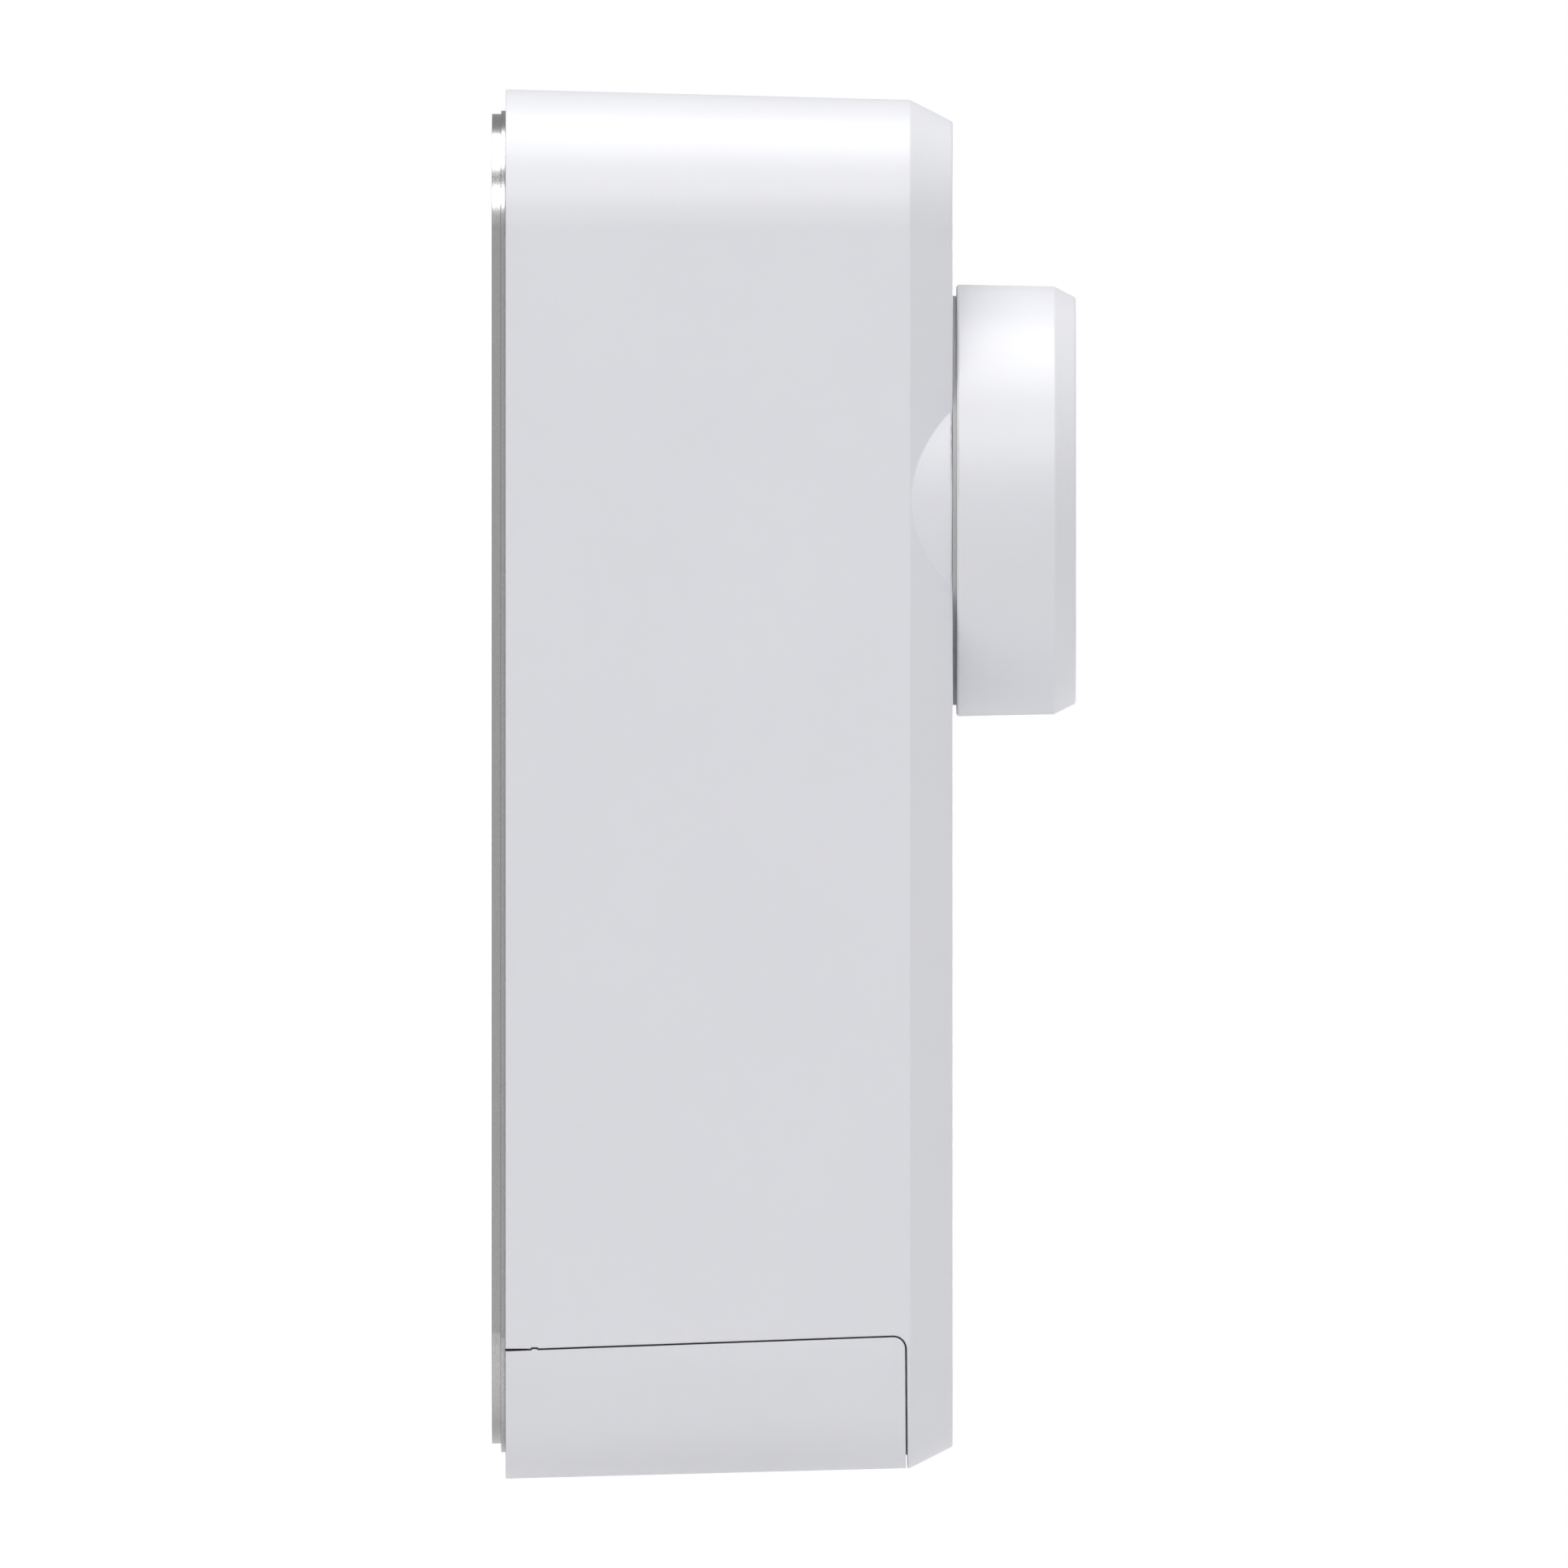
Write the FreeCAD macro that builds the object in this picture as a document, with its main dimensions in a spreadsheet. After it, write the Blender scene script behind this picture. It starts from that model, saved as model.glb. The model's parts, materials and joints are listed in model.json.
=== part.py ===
"""A wall-mounted video doorbell with a turning camera head, as an assembly of separate pieces.

Millimetres. X runs across the unit, +Z is up, and the wall is the plane Y = 0, so the unit stands out
along -Y. Depth in the names below is the distance out from the wall, so a depth of 10 is Y = -10.
The origin is the middle of the two wall screws, on the wall. The head turns about a line along Y.
"""
import FreeCAD, Part
import math
import os
import re
import Sketcher
from FreeCAD import Rotation, Vector

doc = FreeCAD.newDocument("VideoDoorbell")
dims = doc.addObject("Spreadsheet::Sheet", "dims")

SIZES = {
    # outline of the unit, seen from the front, at its back edge, and how far each later edge is inside it
    "unit_half_width": 21.3, "unit_half_height": 68.5, "unit_corner": 13.4,
    "unit_back": 1.36, "unit_bevel": 41.2, "unit_front": 45.4,
    "draft_inset": 1.04, "bevel_inset": 2.14, "edge_round": 0.25,
    "wall": 1.6, "front_wall": 1.8, "inner_bevel_inset": 1.4,
    # what a fully rounded end keeps of its straight side
    "round_gap": 0.01,
    # the seam between the housing and the bottom cover, as heights at the back and the front
    "cover_seam_back": -55.825, "cover_seam_front": -54.405, "housing_seam_back": -55.655,
    "housing_seam_front": -54.235, "cover_slit": 40.69, "housing_slit": 40.87, "slit_lean": 0.15,
    "cover_seam_round": 1.15, "housing_seam_round": 1.35, "far_out": 75.0,
    "nub_back": 3.96, "nub_front": 4.52, "nub_foot_back": -55.73, "nub_foot_front": -55.71,
    "nub_top": -55.605, "notch_back": 3.9, "notch_front": 4.58, "notch_foot_back": -55.565,
    "notch_foot_front": -55.54, "notch_top": -55.435,
    # wall plate with its hooks and its locking tab
    "plate_front": 0.9, "plate_half_width": 18.8, "plate_top": 66.08, "plate_bottom": -65.04,
    "plate_corner": 11.0, "wall_screw_height": 42.0, "wall_hole": 2.25, "opening_half_width": 8.0,
    "opening_low": 10.0, "opening_high": 26.0, "opening_round": 2.0, "hook_across": 14.0,
    "hook_half_width": 2.0, "hook_leg": 1.5, "hook_lip": 5.0, "hook_back": 1.56, "hook_front": 2.46,
    "hook_upper": 43.0, "hook_lower": -37.0, "tab_half_width": 5.5, "tab_low": -58.8, "tab_high": -57.9,
    "tab_front": 12.0, "lock_depth": 7.0, "lock_hole": 1.7,
    "lock_head": 2.8, "lock_head_low": -60.8, "lock_shank": 1.5, "lock_shank_high": -54.0,
    "lock_socket": 1.3, "socket_deep": 1.2,
    # rear plate and back cover
    "rear_half_width": 19.1, "rear_top": 66.4, "rear_bottom": -65.9, "rear_corner": 11.4,
    "slot_half_width": 2.7, "slot_rest_gap": 0.02, "slot_tall": 8.0, "head_window": 5.0,
    "window_above": 5.0, "window_below": 9.7, "notch_half_width": 6.2, "lock_notch_high": -57.4,
    "back_front": 3.36, "back_half_width": 19.5, "back_half_height": 66.6, "back_corner": 11.6,
    "seal_back": 2.0, "seal_front": 2.8, "seal_inset": 0.7, "seal_slack": 0.02,
    "hook_pocket_front": 2.9, "hook_pocket_side": 0.3, "hook_pocket_tall": 13.4, "window_front": 4.4,
    "window_wall": 1.2, "window_boss_front": 5.4, "recess_half_width": 10.5, "recess_low": 8.0,
    "recess_high": 28.0, "recess_front": 7.8, "recess_wall": 1.3, "recess_boss_front": 9.1,
    "rear_screw_across": 15.6, "rear_screw_top": 58.6, "rear_screw_middle": 2.0,
    "rear_screw_bottom": -50.0, "screw_head": 2.0, "screw_head_hole": 2.06, "screw_shank": 0.98,
    "screw_pilot": 1.0, "screw_pass": 1.15, "rear_head_back": 0.93, "rear_head_front": 1.9,
    "rear_head_floor": 1.95, "rear_shank_front": 8.6, "post_radius": 2.4, "post_back": 3.4,
    "post_front": 9.4, "rib_half": 1.1, "rib_end": 20.0,
    "block_half_width": 9.2, "block_low": 13.0, "block_high": 27.0, "block_back": 3.4,
    "block_front": 7.7, "terminal_across": 4.6, "terminal_height": 22.0, "terminal_head": 2.3,
    "terminal_well": 2.6, "terminal_back": 4.0, "terminal_floor": 5.4, "terminal_shank": 1.2,
    "terminal_end": 7.2, "wire_hole": 1.4, "wire_hole_high": 18.5, "wire_hole_depth": 6.2,
    # bearing between the housing and the head
    "head_height": 28.0, "boss_radius": 20.2, "boss_back": 40.0, "bore": 11.06, "bearing_boss": 14.0,
    "bearing_back": 40.6, "ring_seat": 44.4, "ring_seat_inner": 16.4, "ring_seat_outer": 18.55,
    "ring_back": 44.42, "ring_tongue_inner": 16.45, "ring_tongue_outer": 18.5, "neck_radius": 20.2,
    "neck_inner": 16.5, "neck_front": 47.6, "stop_inner": 13.85, "stop_outer": 16.15,
    "stop_floor": 44.2, "stop_sweep": 189.0, "stop_radius": 15.0, "stop_pin": 1.0,
    "stop_pin_back": 44.5, "hub_outer": 11.0, "hub_inner": 9.6, "hub_back": 38.5,
    "clip_groove": 10.2, "clip_groove_back": 39.15, "clip_groove_front": 40.05,
    "o_groove": 10.15, "o_groove_back": 41.9, "o_groove_front": 42.9, "o_ring_radius": 10.6,
    "o_ring_section": 0.43, "washer_inner": 11.1, "washer_outer": 13.8, "washer_back": 40.1,
    "washer_front": 40.56, "clip_inner": 10.25, "clip_outer": 12.4, "clip_back": 39.22,
    "clip_front": 39.98, "clip_gap": 1.6,
    # head
    "rim_back": 45.8, "rim_radius": 21.32, "rim_inner": 20.28, "head_bevel": 55.44,
    "head_bevel_radius": 21.12, "head_front": 57.56, "head_front_radius": 20.04, "head_round": 0.3,
    "glass_seat": 17.25, "glass_seat_depth": 56.1, "throat": 15.6, "throat_back": 55.2,
    "head_inner": 19.2, "head_inner_front": 54.2, "base_seat": 49.9, "base_radius": 20.1,
    "base_back": 47.9, "base_front": 49.88, "head_screw_radius": 16.6, "head_post": 2.2,
    "head_post_front": 55.0, "head_pilot_front": 54.0, "head_screw_counter": 48.9,
    "head_screw_counter_radius": 2.1, "head_screw_back": 47.98, "head_screw_seat": 48.86,
    "head_screw_front": 53.5, "glass_radius": 17.15, "glass_back": 56.3, "glass_bevel": 57.3,
    "glass_front": 57.46, "glass_bevel_radius": 16.99, "seal_inner": 15.75, "glass_seal_front": 56.29,
    "mask_radius": 15.5, "mask_back": 55.95, "mask_front": 56.28, "lens_window": 6.9,
    "led_window": 1.7, "led_circle": 11.6, "led_radius": 1.4, "led_tip": 1.12, "led_back": 53.7,
    "led_front": 55.0, "ir_outer": 13.8, "ir_inner": 8.6, "ir_back": 52.9,
    "lens_cant": 8.0, "lens_pivot": 51.0, "bracket_radius": 13.4, "bracket_back": 49.95,
    "bracket_front": 51.0, "tube_outer": 8.0, "tube_start": -0.6, "tube_end": 2.4,
    "tube_bore": 6.6, "bore_start": -3.0, "barrel_radius": 6.5, "barrel_start": -1.9,
    "barrel_end": 3.9, "barrel_mouth": 5.2, "mouth_start": 1.6, "lens_radius": 5.15,
    "lens_sphere": 7.6, "lens_start": 1.7, "lens_end": 3.7, "sensor_half": 6.0, "sensor_start": -3.0,
    "sensor_end": -2.0, "ribbon_half": 3.0, "ribbon_thick": 0.15, "ribbon_back": 37.6,
    "ribbon_front": 46.6,
    # face of the unit below the head
    "call_height": -24.0, "call_opening": 13.15, "call_radius": 11.0, "call_front": 45.3,
    "call_dish": 45.05, "dish_flat": 6.5, "dish_edge": 9.5, "call_flange": 12.4,
    "call_flange_front": 42.7, "call_flange_back": 41.9, "call_stem": 2.4, "call_stem_back": 41.0,
    "light_outer": 13.1, "light_inner": 11.15, "light_back": 42.8, "light_flange": 14.2,
    "inner_face": 43.58, "light_front": 45.35, "switch_half": 3.0, "switch_front": 39.4,
    "switch_well": 1.75, "switch_floor": 38.2, "plunger": 1.6, "plunger_back": 38.9,
    "plunger_front": 40.92, "pir_height": -2.2, "pir_opening": 4.5, "pir_radius": 4.42,
    "pir_flange": 5.4, "pir_back": 43.2, "pir_edge": 45.2, "pir_front": 45.38, "pir_hollow": 3.4,
    "pir_skin": 44.6, "can_radius": 4.1, "can_back": 37.8, "can_front": 41.6, "can_flange": 4.6,
    "can_flange_back": 37.2, "can_pin": 0.3, "can_pin_circle": 2.5,
    "speaker_height": -45.2, "speaker_slot": 0.55, "speaker_slot_half": 3.6, "speaker_pitch": 2.3,
    "speaker_radius": 6.2, "speaker_back": 38.8, "speaker_front": 42.9, "magnet_radius": 4.2,
    "magnet_back": 36.9, "gasket_inner": 5.4, "mesh_half_width": 8.3, "mesh_half_tall": 4.6,
    "mesh_back": 43.3,
    "mic_height": 57.5, "mic_hole": 0.6, "boot_radius": 2.6, "boot_back": 37.15,
    "mic_half_width": 1.9, "mic_half_tall": 1.45, "mic_front": 37.1,
    # electronics and cells
    "board_back": 34.8, "board_front": 36.0, "board_half_width": 16.4, "board_low": -50.0,
    "board_high": 60.6, "board_corner": 4.0, "board_post_across": 13.6, "board_post_top": 53.0,
    "board_post_middle": -6.0, "board_post_bottom": -46.6, "board_post": 2.3,
    "board_head_back": 33.6, "board_head_front": 34.75, "board_shank_front": 40.0,
    "board_pilot_front": 41.0, "shield_half_width": 11.0, "shield_low": -22.0, "shield_high": 4.0,
    "shield_back": 32.1, "shield_skin": 0.2, "status_circle": 12.4, "status_half": 1.0,
    "status_front": 36.9, "antenna_half_width": 7.0, "antenna_low": 65.2, "antenna_high": 65.8,
    "antenna_back": 12.0, "antenna_front": 26.0, "cell_across": 9.3, "cell_depth": 20.0,
    "cell_radius": 9.1, "cell_low": -47.5, "cell_high": 16.5, "cap_radius": 2.8,
    "cap_high": 17.5, "cradle_half_width": 18.3, "cradle_low": -49.6, "cradle_high": 19.4,
    "cradle_back": 22.0, "cradle_front": 31.2, "cradle_bore": 9.2, "cradle_bore_low": -48.15,
    "cradle_bore_high": 18.15, "tab_thick": 0.5, "tab_back": 17.0, "tab_strip": 4.9,
    "link_half_width": 12.0, "tab_gap": 0.05, "tab_plate": 4.0,
    # bottom bay, its cover and what is inside
    "cover_wall": 1.2, "bay_half_width": 18.3, "bay_high": -53.0, "bay_low": -65.5,
    "bay_foot": -66.15, "foot_gap": 0.03,
    "bay_corner": 10.4, "bay_back": 3.6, "bay_front": 41.6, "well_half_width": 14.6,
    "well_back": 8.5, "well_front": 37.5, "web_low": -57.4, "web_high": -56.2,
    "shelf_half_width": 15.6, "shelf_back": 10.4, "shelf_front": 37.6, "bay_depth": 24.0,
    "bay_across": 9.5, "bay_post": 3.2, "bay_post_low": -60.9, "bay_post_bore": 1.3,
    "lock_bore": 1.56, "lock_bore_high": -53.5, "usb_half_width": 4.47, "usb_half_deep": 1.63,
    "usb_low": -59.4, "usb_skin": 0.3, "usb_gap": 0.4, "usb_floor": -54.8, "tongue_half_width": 3.35,
    "tongue_half": 0.35, "tongue_low": -58.9, "bay_board_low": -54.2, "bay_board_high": -53.1,
    "bay_board_half": 15.4, "bay_board_back": 10.6, "bay_board_front": 37.4, "bay_board_hole": 2.0,
    "reset_hole": 2.0, "reset_radius": 1.8, "reset_low": -59.0, "reset_high": -56.8,
    "reset_stem": 1.0, "reset_stem_high": -55.3, "reset_half": 2.5, "reset_switch_low": -56.1,
    "reset_well": 1.1, "reset_well_high": -54.6, "cover_boss": 3.2, "cover_boss_low": -67.8,
    "cover_boss_high": -61.2, "cover_counter": 2.9, "cover_counter_high": -65.2,
    "cover_pass": 1.45, "cover_head": 2.6, "cover_head_top": 2.08, "cover_head_low": -66.9,
    "cover_head_high": -65.25, "cover_socket": 1.04, "cover_socket_deep": 0.72,
    "cover_shank": 1.25, "cover_shank_high": -54.5,
}
# chips on the main board: left, right, low, high and how far each stands on the front face
CHIPS = [
    (-14.0, -6.0, 6.0, 13.0, 1.1), (7.0, 13.0, 7.0, 14.0, 1.4), (-3.6, 3.6, 25.5, 30.5, 1.4),
    (-12.5, -8.5, 38.0, 43.0, 2.0), (8.0, 13.5, 39.0, 44.0, 0.9), (9.5, 14.0, -40.0, -36.0, 1.2),
    (-14.5, -10.0, -38.5, -35.0, 1.8)]
# pieces that stand in a ring: how many, and the angle of the first
HEAD_SCREW_RING = (3, 30)
LED_RING = (6, 0)
STATUS_RING = (8, 22.5)
CAN_PIN_RING = (3, 90)
# the middle speaker slot has this many more on each side
SIDE_SLOTS = 3
for row, (alias, number) in enumerate(SIZES.items(), start=1):
    dims.set(f"A{row}", alias)
    dims.set(f"B{row}", str(number))
    dims.setAlias(f"B{row}", alias)
doc.recompute()

probe = doc.addObject("App::FeaturePython", "probe")
node_objects = []


def formula(text):
    """Writes a sum of the sheet's names as an expression that FreeCAD reads."""
    return re.sub(r"\b([a-z]\w*)\b(?!\()", r"dims.\1", str(text))


def number_of(text):
    return float(probe.evalExpression(formula(text)))


def bind(item, **sizes):
    """Binds properties to the sheet. Two underscores in a name stand for a dot."""
    for name, text in sizes.items():
        item.setExpression(name.replace("__", "."), formula(text))
    return item


def node(item, label):
    """Names a finished sub-part, which is then written to a file of that name."""
    item.Label = label
    node_objects.append(item)
    return item


# ---------------------------------------------------------------- sketches and PartDesign features

def new_body(label):
    return node(doc.addObject("PartDesign::Body", label), label)


def new_sketch(body, role, **offset):
    """A sketch on one of the body's own origin planes, moved off it by the offset given."""
    plane = next(item for item in body.Origin.OriginFeatures if item.Role == role)
    sketch = body.newObject("Sketcher::SketchObject", "sketch")
    sketch.AttachmentSupport = (plane, [""])
    sketch.MapMode = "FlatFace"
    for direction, text in offset.items():
        sketch.setExpression(f"AttachmentOffset.Base.{direction}", formula(text))
    return sketch


def hold(sketch, geometry, point, kind, text):
    """Ties one point's distance from the sketch's origin, across or up, to a formula."""
    size = number_of(text)
    if abs(size) < 1e-7:
        axis = -2 if kind == "DistanceX" else -1
        sketch.addConstraint(Sketcher.Constraint("PointOnObject", geometry, point, axis))
    elif size > 0:
        index = sketch.addConstraint(Sketcher.Constraint(kind, -1, 1, geometry, point, size))
        sketch.setExpression(f"Constraints[{index}]", formula(text))
    else:
        index = sketch.addConstraint(Sketcher.Constraint(kind, geometry, point, -1, 1, -size))
        sketch.setExpression(f"Constraints[{index}]", formula(f"-({text})"))


def draw_circle(sketch, across, up, radius):
    middle = Vector(number_of(across), number_of(up), 0)
    circle = sketch.addGeometry(Part.Circle(middle, Vector(0, 0, 1), number_of(radius)))
    hold(sketch, circle, 3, "DistanceX", across)
    hold(sketch, circle, 3, "DistanceY", up)
    index = sketch.addConstraint(Sketcher.Constraint("Radius", circle, number_of(radius)))
    sketch.setExpression(f"Constraints[{index}]", formula(radius))


def corner_arc(corner, before, after, radius):
    """The two ends and the middle of the arc that rounds a corner."""
    toward, onward = (before - corner).normalize(), (after - corner).normalize()
    half = math.acos(max(-1.0, min(1.0, toward.dot(onward)))) / 2
    inward = (toward + onward).normalize()
    reach = radius / math.tan(half)
    middle = corner + inward * (radius / math.sin(half) - radius)
    return corner + toward * reach, middle, corner + onward * reach


def draw_outline(sketch, corners):
    """A closed outline of straight lines. Each corner is (across, up) or (across, up, radius)."""
    places = [Vector(number_of(corner[0]), number_of(corner[1]), 0) for corner in corners]
    count = len(corners)
    starts, ends, arcs = list(places), list(places), {}
    for index, corner in enumerate(corners):
        if len(corner) == 3:
            radius = number_of(corner[2])
            arcs[index] = corner_arc(places[index], places[index - 1], places[(index + 1) % count], radius)
            ends[index], starts[index] = arcs[index][0], arcs[index][2]
    lines = [
        sketch.addGeometry(Part.LineSegment(starts[index], ends[(index + 1) % count]))
        for index in range(count)
    ]
    for index, corner in enumerate(corners):
        before, after = lines[index - 1], lines[index]
        if index not in arcs:
            sketch.addConstraint(Sketcher.Constraint("Coincident", before, 2, after, 1))
            hold(sketch, after, 1, "DistanceX", corner[0])
            hold(sketch, after, 1, "DistanceY", corner[1])
            continue
        peak = sketch.addGeometry(Part.Point(places[index]), True)
        hold(sketch, peak, 1, "DistanceX", corner[0])
        hold(sketch, peak, 1, "DistanceY", corner[1])
        sketch.addConstraint(Sketcher.Constraint("PointOnObject", peak, 1, before))
        sketch.addConstraint(Sketcher.Constraint("PointOnObject", peak, 1, after))
        arc = sketch.addGeometry(Part.Arc(*arcs[index]))
        first = 1 if sketch.getPoint(arc, 1).isEqual(arcs[index][0], 1e-6) else 2
        sketch.addConstraint(Sketcher.Constraint("Tangent", before, 2, arc, first))
        sketch.addConstraint(Sketcher.Constraint("Tangent", after, 1, arc, 3 - first))
        size = sketch.addConstraint(Sketcher.Constraint("Radius", arc, number_of(corner[2])))
        sketch.setExpression(f"Constraints[{size}]", formula(corner[2]))


def block(left, right, low, high, radius=None):
    """The corners of a rectangle, rounded if a radius is given."""
    ends = [(left, low), (right, low), (right, high), (left, high)]
    return [(*end, radius) if radius else end for end in ends]


def centred(half_width, low, high, radius=None):
    return block(f"-({half_width})", half_width, low, high, radius)


def draw(sketch, shapes):
    """Shapes are circles, given as (across, up, radius), or outlines, given as lists of corners."""
    for shape in shapes:
        if isinstance(shape, list):
            draw_outline(sketch, shape)
        else:
            draw_circle(sketch, *shape)


def feature(body, kind, sketch, **sizes):
    item = body.newObject(f"PartDesign::{kind}", kind)
    item.Profile = sketch
    sketch.Visibility = False
    return bind(item, **sizes)


def pad(body, shapes, back, front):
    """Adds material from one depth out to another, in outlines seen from the front."""
    sketch = new_sketch(body, "XZ_Plane", z=back)
    draw(sketch, shapes)
    return feature(body, "Pad", sketch, Length=f"({front}) - ({back})")


def pocket(body, shapes, back, front):
    """Removes material between two depths. The sketch is at the front one and the cut goes back."""
    sketch = new_sketch(body, "XZ_Plane", z=front)
    draw(sketch, shapes)
    return feature(body, "Pocket", sketch, Length=f"({front}) - ({back})")


def pad_up(body, shapes, low, high):
    """Adds material between two heights. Places are (across, -depth)."""
    sketch = new_sketch(body, "XY_Plane", z=low)
    draw(sketch, shapes)
    return feature(body, "Pad", sketch, Length=f"({high}) - ({low})")


def pocket_down(body, shapes, low, high):
    sketch = new_sketch(body, "XY_Plane", z=high)
    draw(sketch, shapes)
    return feature(body, "Pocket", sketch, Length=f"({high}) - ({low})")


def pocket_across(body, corners):
    """Cuts a side-view outline, given as (depth, height) corners, right through the width."""
    sketch = new_sketch(body, "YZ_Plane")
    draw_outline(sketch, [(f"-({depth})", *rest) for depth, *rest in corners])
    item = feature(body, "Pocket", sketch, Length="far_out + far_out")
    item.Midplane = True
    return item


def turned(body, height, corners, kind="Revolution"):
    """Turns (depth, radius) corners about the line along Y at a height."""
    sketch = new_sketch(body, "YZ_Plane", y=height)
    draw_outline(sketch, [(f"-({depth})", *rest) for depth, *rest in corners])
    item = feature(body, kind, sketch)
    item.ReferenceAxis = (sketch, ["H_Axis"])
    item.Angle = 360
    return item


def loft(body, kind, sections):
    """A ruled loft through rounded rectangles, each (depth, inset from the unit's back outline)."""
    sketches = []
    for depth, inset in sections:
        sketch = new_sketch(body, "XZ_Plane", z=depth)
        tall = f"unit_half_height - ({inset})"
        draw_outline(sketch, centred(
            f"unit_half_width - ({inset})", f"-({tall})", tall, f"unit_corner - ({inset})"))
        sketch.Visibility = False
        sketches.append(sketch)
    item = body.newObject(f"PartDesign::{kind}", kind)
    item.Profile = sketches[0]
    item.Sections = sketches[1:]
    item.Ruled = True
    return item


# ---------------------------------------------------------------- Part primitives and booleans

def box(left, right, back, front, low, high):
    """A block between two places across, two depths and two heights."""
    item = doc.addObject("Part::Box", "block")
    bind(item, Length=f"({right}) - ({left})", Width=f"({front}) - ({back})", Height=f"({high}) - ({low})")
    return bind(item, Placement__Base__x=left, Placement__Base__y=f"-({front})", Placement__Base__z=low)


def rod_out(across, height, radius, back, front):
    """A cylinder that stands out from the wall."""
    item = doc.addObject("Part::Cylinder", "rod")
    item.Placement.Rotation = Rotation(Vector(1, 0, 0), 90)
    bind(item, Radius=radius, Height=f"({front}) - ({back})")
    return bind(item, Placement__Base__x=across, Placement__Base__y=f"-({back})", Placement__Base__z=height)


def rod_up(across, depth, radius, low, high):
    item = doc.addObject("Part::Cylinder", "rod")
    bind(item, Radius=radius, Height=f"({high}) - ({low})")
    return bind(item, Placement__Base__x=across, Placement__Base__y=f"-({depth})", Placement__Base__z=low)


def cone_out(across, height, back_radius, front_radius, back, front):
    item = doc.addObject("Part::Cone", "cone")
    item.Placement.Rotation = Rotation(Vector(1, 0, 0), 90)
    bind(item, Radius1=back_radius, Radius2=front_radius, Height=f"({front}) - ({back})")
    return bind(item, Placement__Base__x=across, Placement__Base__y=f"-({back})", Placement__Base__z=height)


def cone_up(across, depth, low_radius, high_radius, low, high):
    item = doc.addObject("Part::Cone", "cone")
    bind(item, Radius1=low_radius, Radius2=high_radius, Height=f"({high}) - ({low})")
    return bind(item, Placement__Base__x=across, Placement__Base__y=f"-({depth})", Placement__Base__z=low)


def canted(item, start, across="0"):
    """Moves a piece onto the camera's tilted line, at a distance along it from the pivot."""
    item.Placement.Rotation = Rotation(Vector(1, 0, 0), 90)
    bind(item, Placement__Rotation__Angle="90 + lens_cant")
    return bind(
        item,
        Placement__Base__x=across,
        Placement__Base__y=f"-(lens_pivot + ({start}) * cos(lens_cant))",
        Placement__Base__z=f"head_height - ({start}) * sin(lens_cant)",
    )


def canted_rod(radius, start, end):
    item = bind(doc.addObject("Part::Cylinder", "rod"), Radius=radius, Height=f"({end}) - ({start})")
    return canted(item, start)


def hexagon_up(across, depth, radius, low, high):
    item = doc.addObject("Part::Prism", "hexagon")
    item.Polygon = 6
    bind(item, Circumradius=radius, Height=f"({high}) - ({low})")
    return bind(item, Placement__Base__x=across, Placement__Base__y=f"-({depth})", Placement__Base__z=low)


def fused(*items):
    if len(items) == 1:
        return items[0]
    item = doc.addObject("Part::MultiFuse", "joined")
    item.Shapes = list(items)
    return item


def cut(base, *tools):
    item = doc.addObject("Part::Cut", "cut")
    item.Base = base
    item.Tool = fused(*tools)
    return item


def group(*items):
    """Several separate solids of one kind, kept in one sub-part."""
    item = doc.addObject("Part::Compound", "group")
    item.Links = list(items)
    return item


SIDES = ("-", "")
REAR_SCREWS = [(f"{side}rear_screw_across", f"rear_screw_{row}")
               for row in ("top", "middle", "bottom") for side in SIDES]
BOARD_POSTS = [(f"{side}board_post_across", f"board_post_{row}")
               for row in ("top", "middle", "bottom") for side in SIDES]


def around(count, first, radius, height):
    """Places on a circle about a height, as formulas for across and up."""
    turns = [first + 360 * index / count for index in range(count)]
    return [(f"({radius}) * cos({turn})", f"({height}) + ({radius}) * sin({turn})") for turn in turns]


HEAD_SCREWS = around(*HEAD_SCREW_RING, "head_screw_radius", "head_height")
LED_PLACES = around(*LED_RING, "led_circle", "head_height")


# ---------------------------------------------------------------- wall plate

def make_mounting_plate():
    body = new_body("mounting_plate")
    pad(body, [centred("plate_half_width", "plate_bottom", "plate_top", "plate_corner")], "0", "plate_front")
    for side in SIDES:
        for hook in ("hook_upper", "hook_lower"):
            edges = (f"{side}hook_across - hook_half_width", f"{side}hook_across + hook_half_width")
            leg = block(*edges, hook, f"{hook} + hook_leg")
            lip = block(*edges, hook, f"{hook} + hook_leg + hook_lip")
            pad(body, [leg], "plate_front", "hook_front")
            pad(body, [lip], "hook_back", "hook_front")
    pad(body, [centred("tab_half_width", "tab_low", "tab_high")], "plate_front", "tab_front")
    holes = [("0", "wall_screw_height", "wall_hole"), ("0", "-wall_screw_height", "wall_hole")]
    opening = centred("opening_half_width", "opening_low", "opening_high", "opening_round")
    pocket(body, [*holes, opening], "0", "plate_front")
    pocket_down(body, [("0", "-lock_depth", "lock_hole")], "tab_low", "tab_high")


def make_security_screw():
    head = rod_up("0", "lock_depth", "lock_head", "lock_head_low", "tab_low")
    shank = rod_up("0", "lock_depth", "lock_shank", "tab_low", "lock_shank_high")
    socket = hexagon_up("0", "lock_depth", "lock_socket", "lock_head_low", "lock_head_low + socket_deep")
    node(cut(fused(head, shank), socket), "security_screw")


# ---------------------------------------------------------------- back of the unit

def hook_slot(side, hook, half_width, tall):
    top = f"{hook} + hook_leg + slot_rest_gap"
    return block(f"{side}hook_across - ({half_width})", f"{side}hook_across + ({half_width})",
                 f"{top} - {tall}", top)


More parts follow.
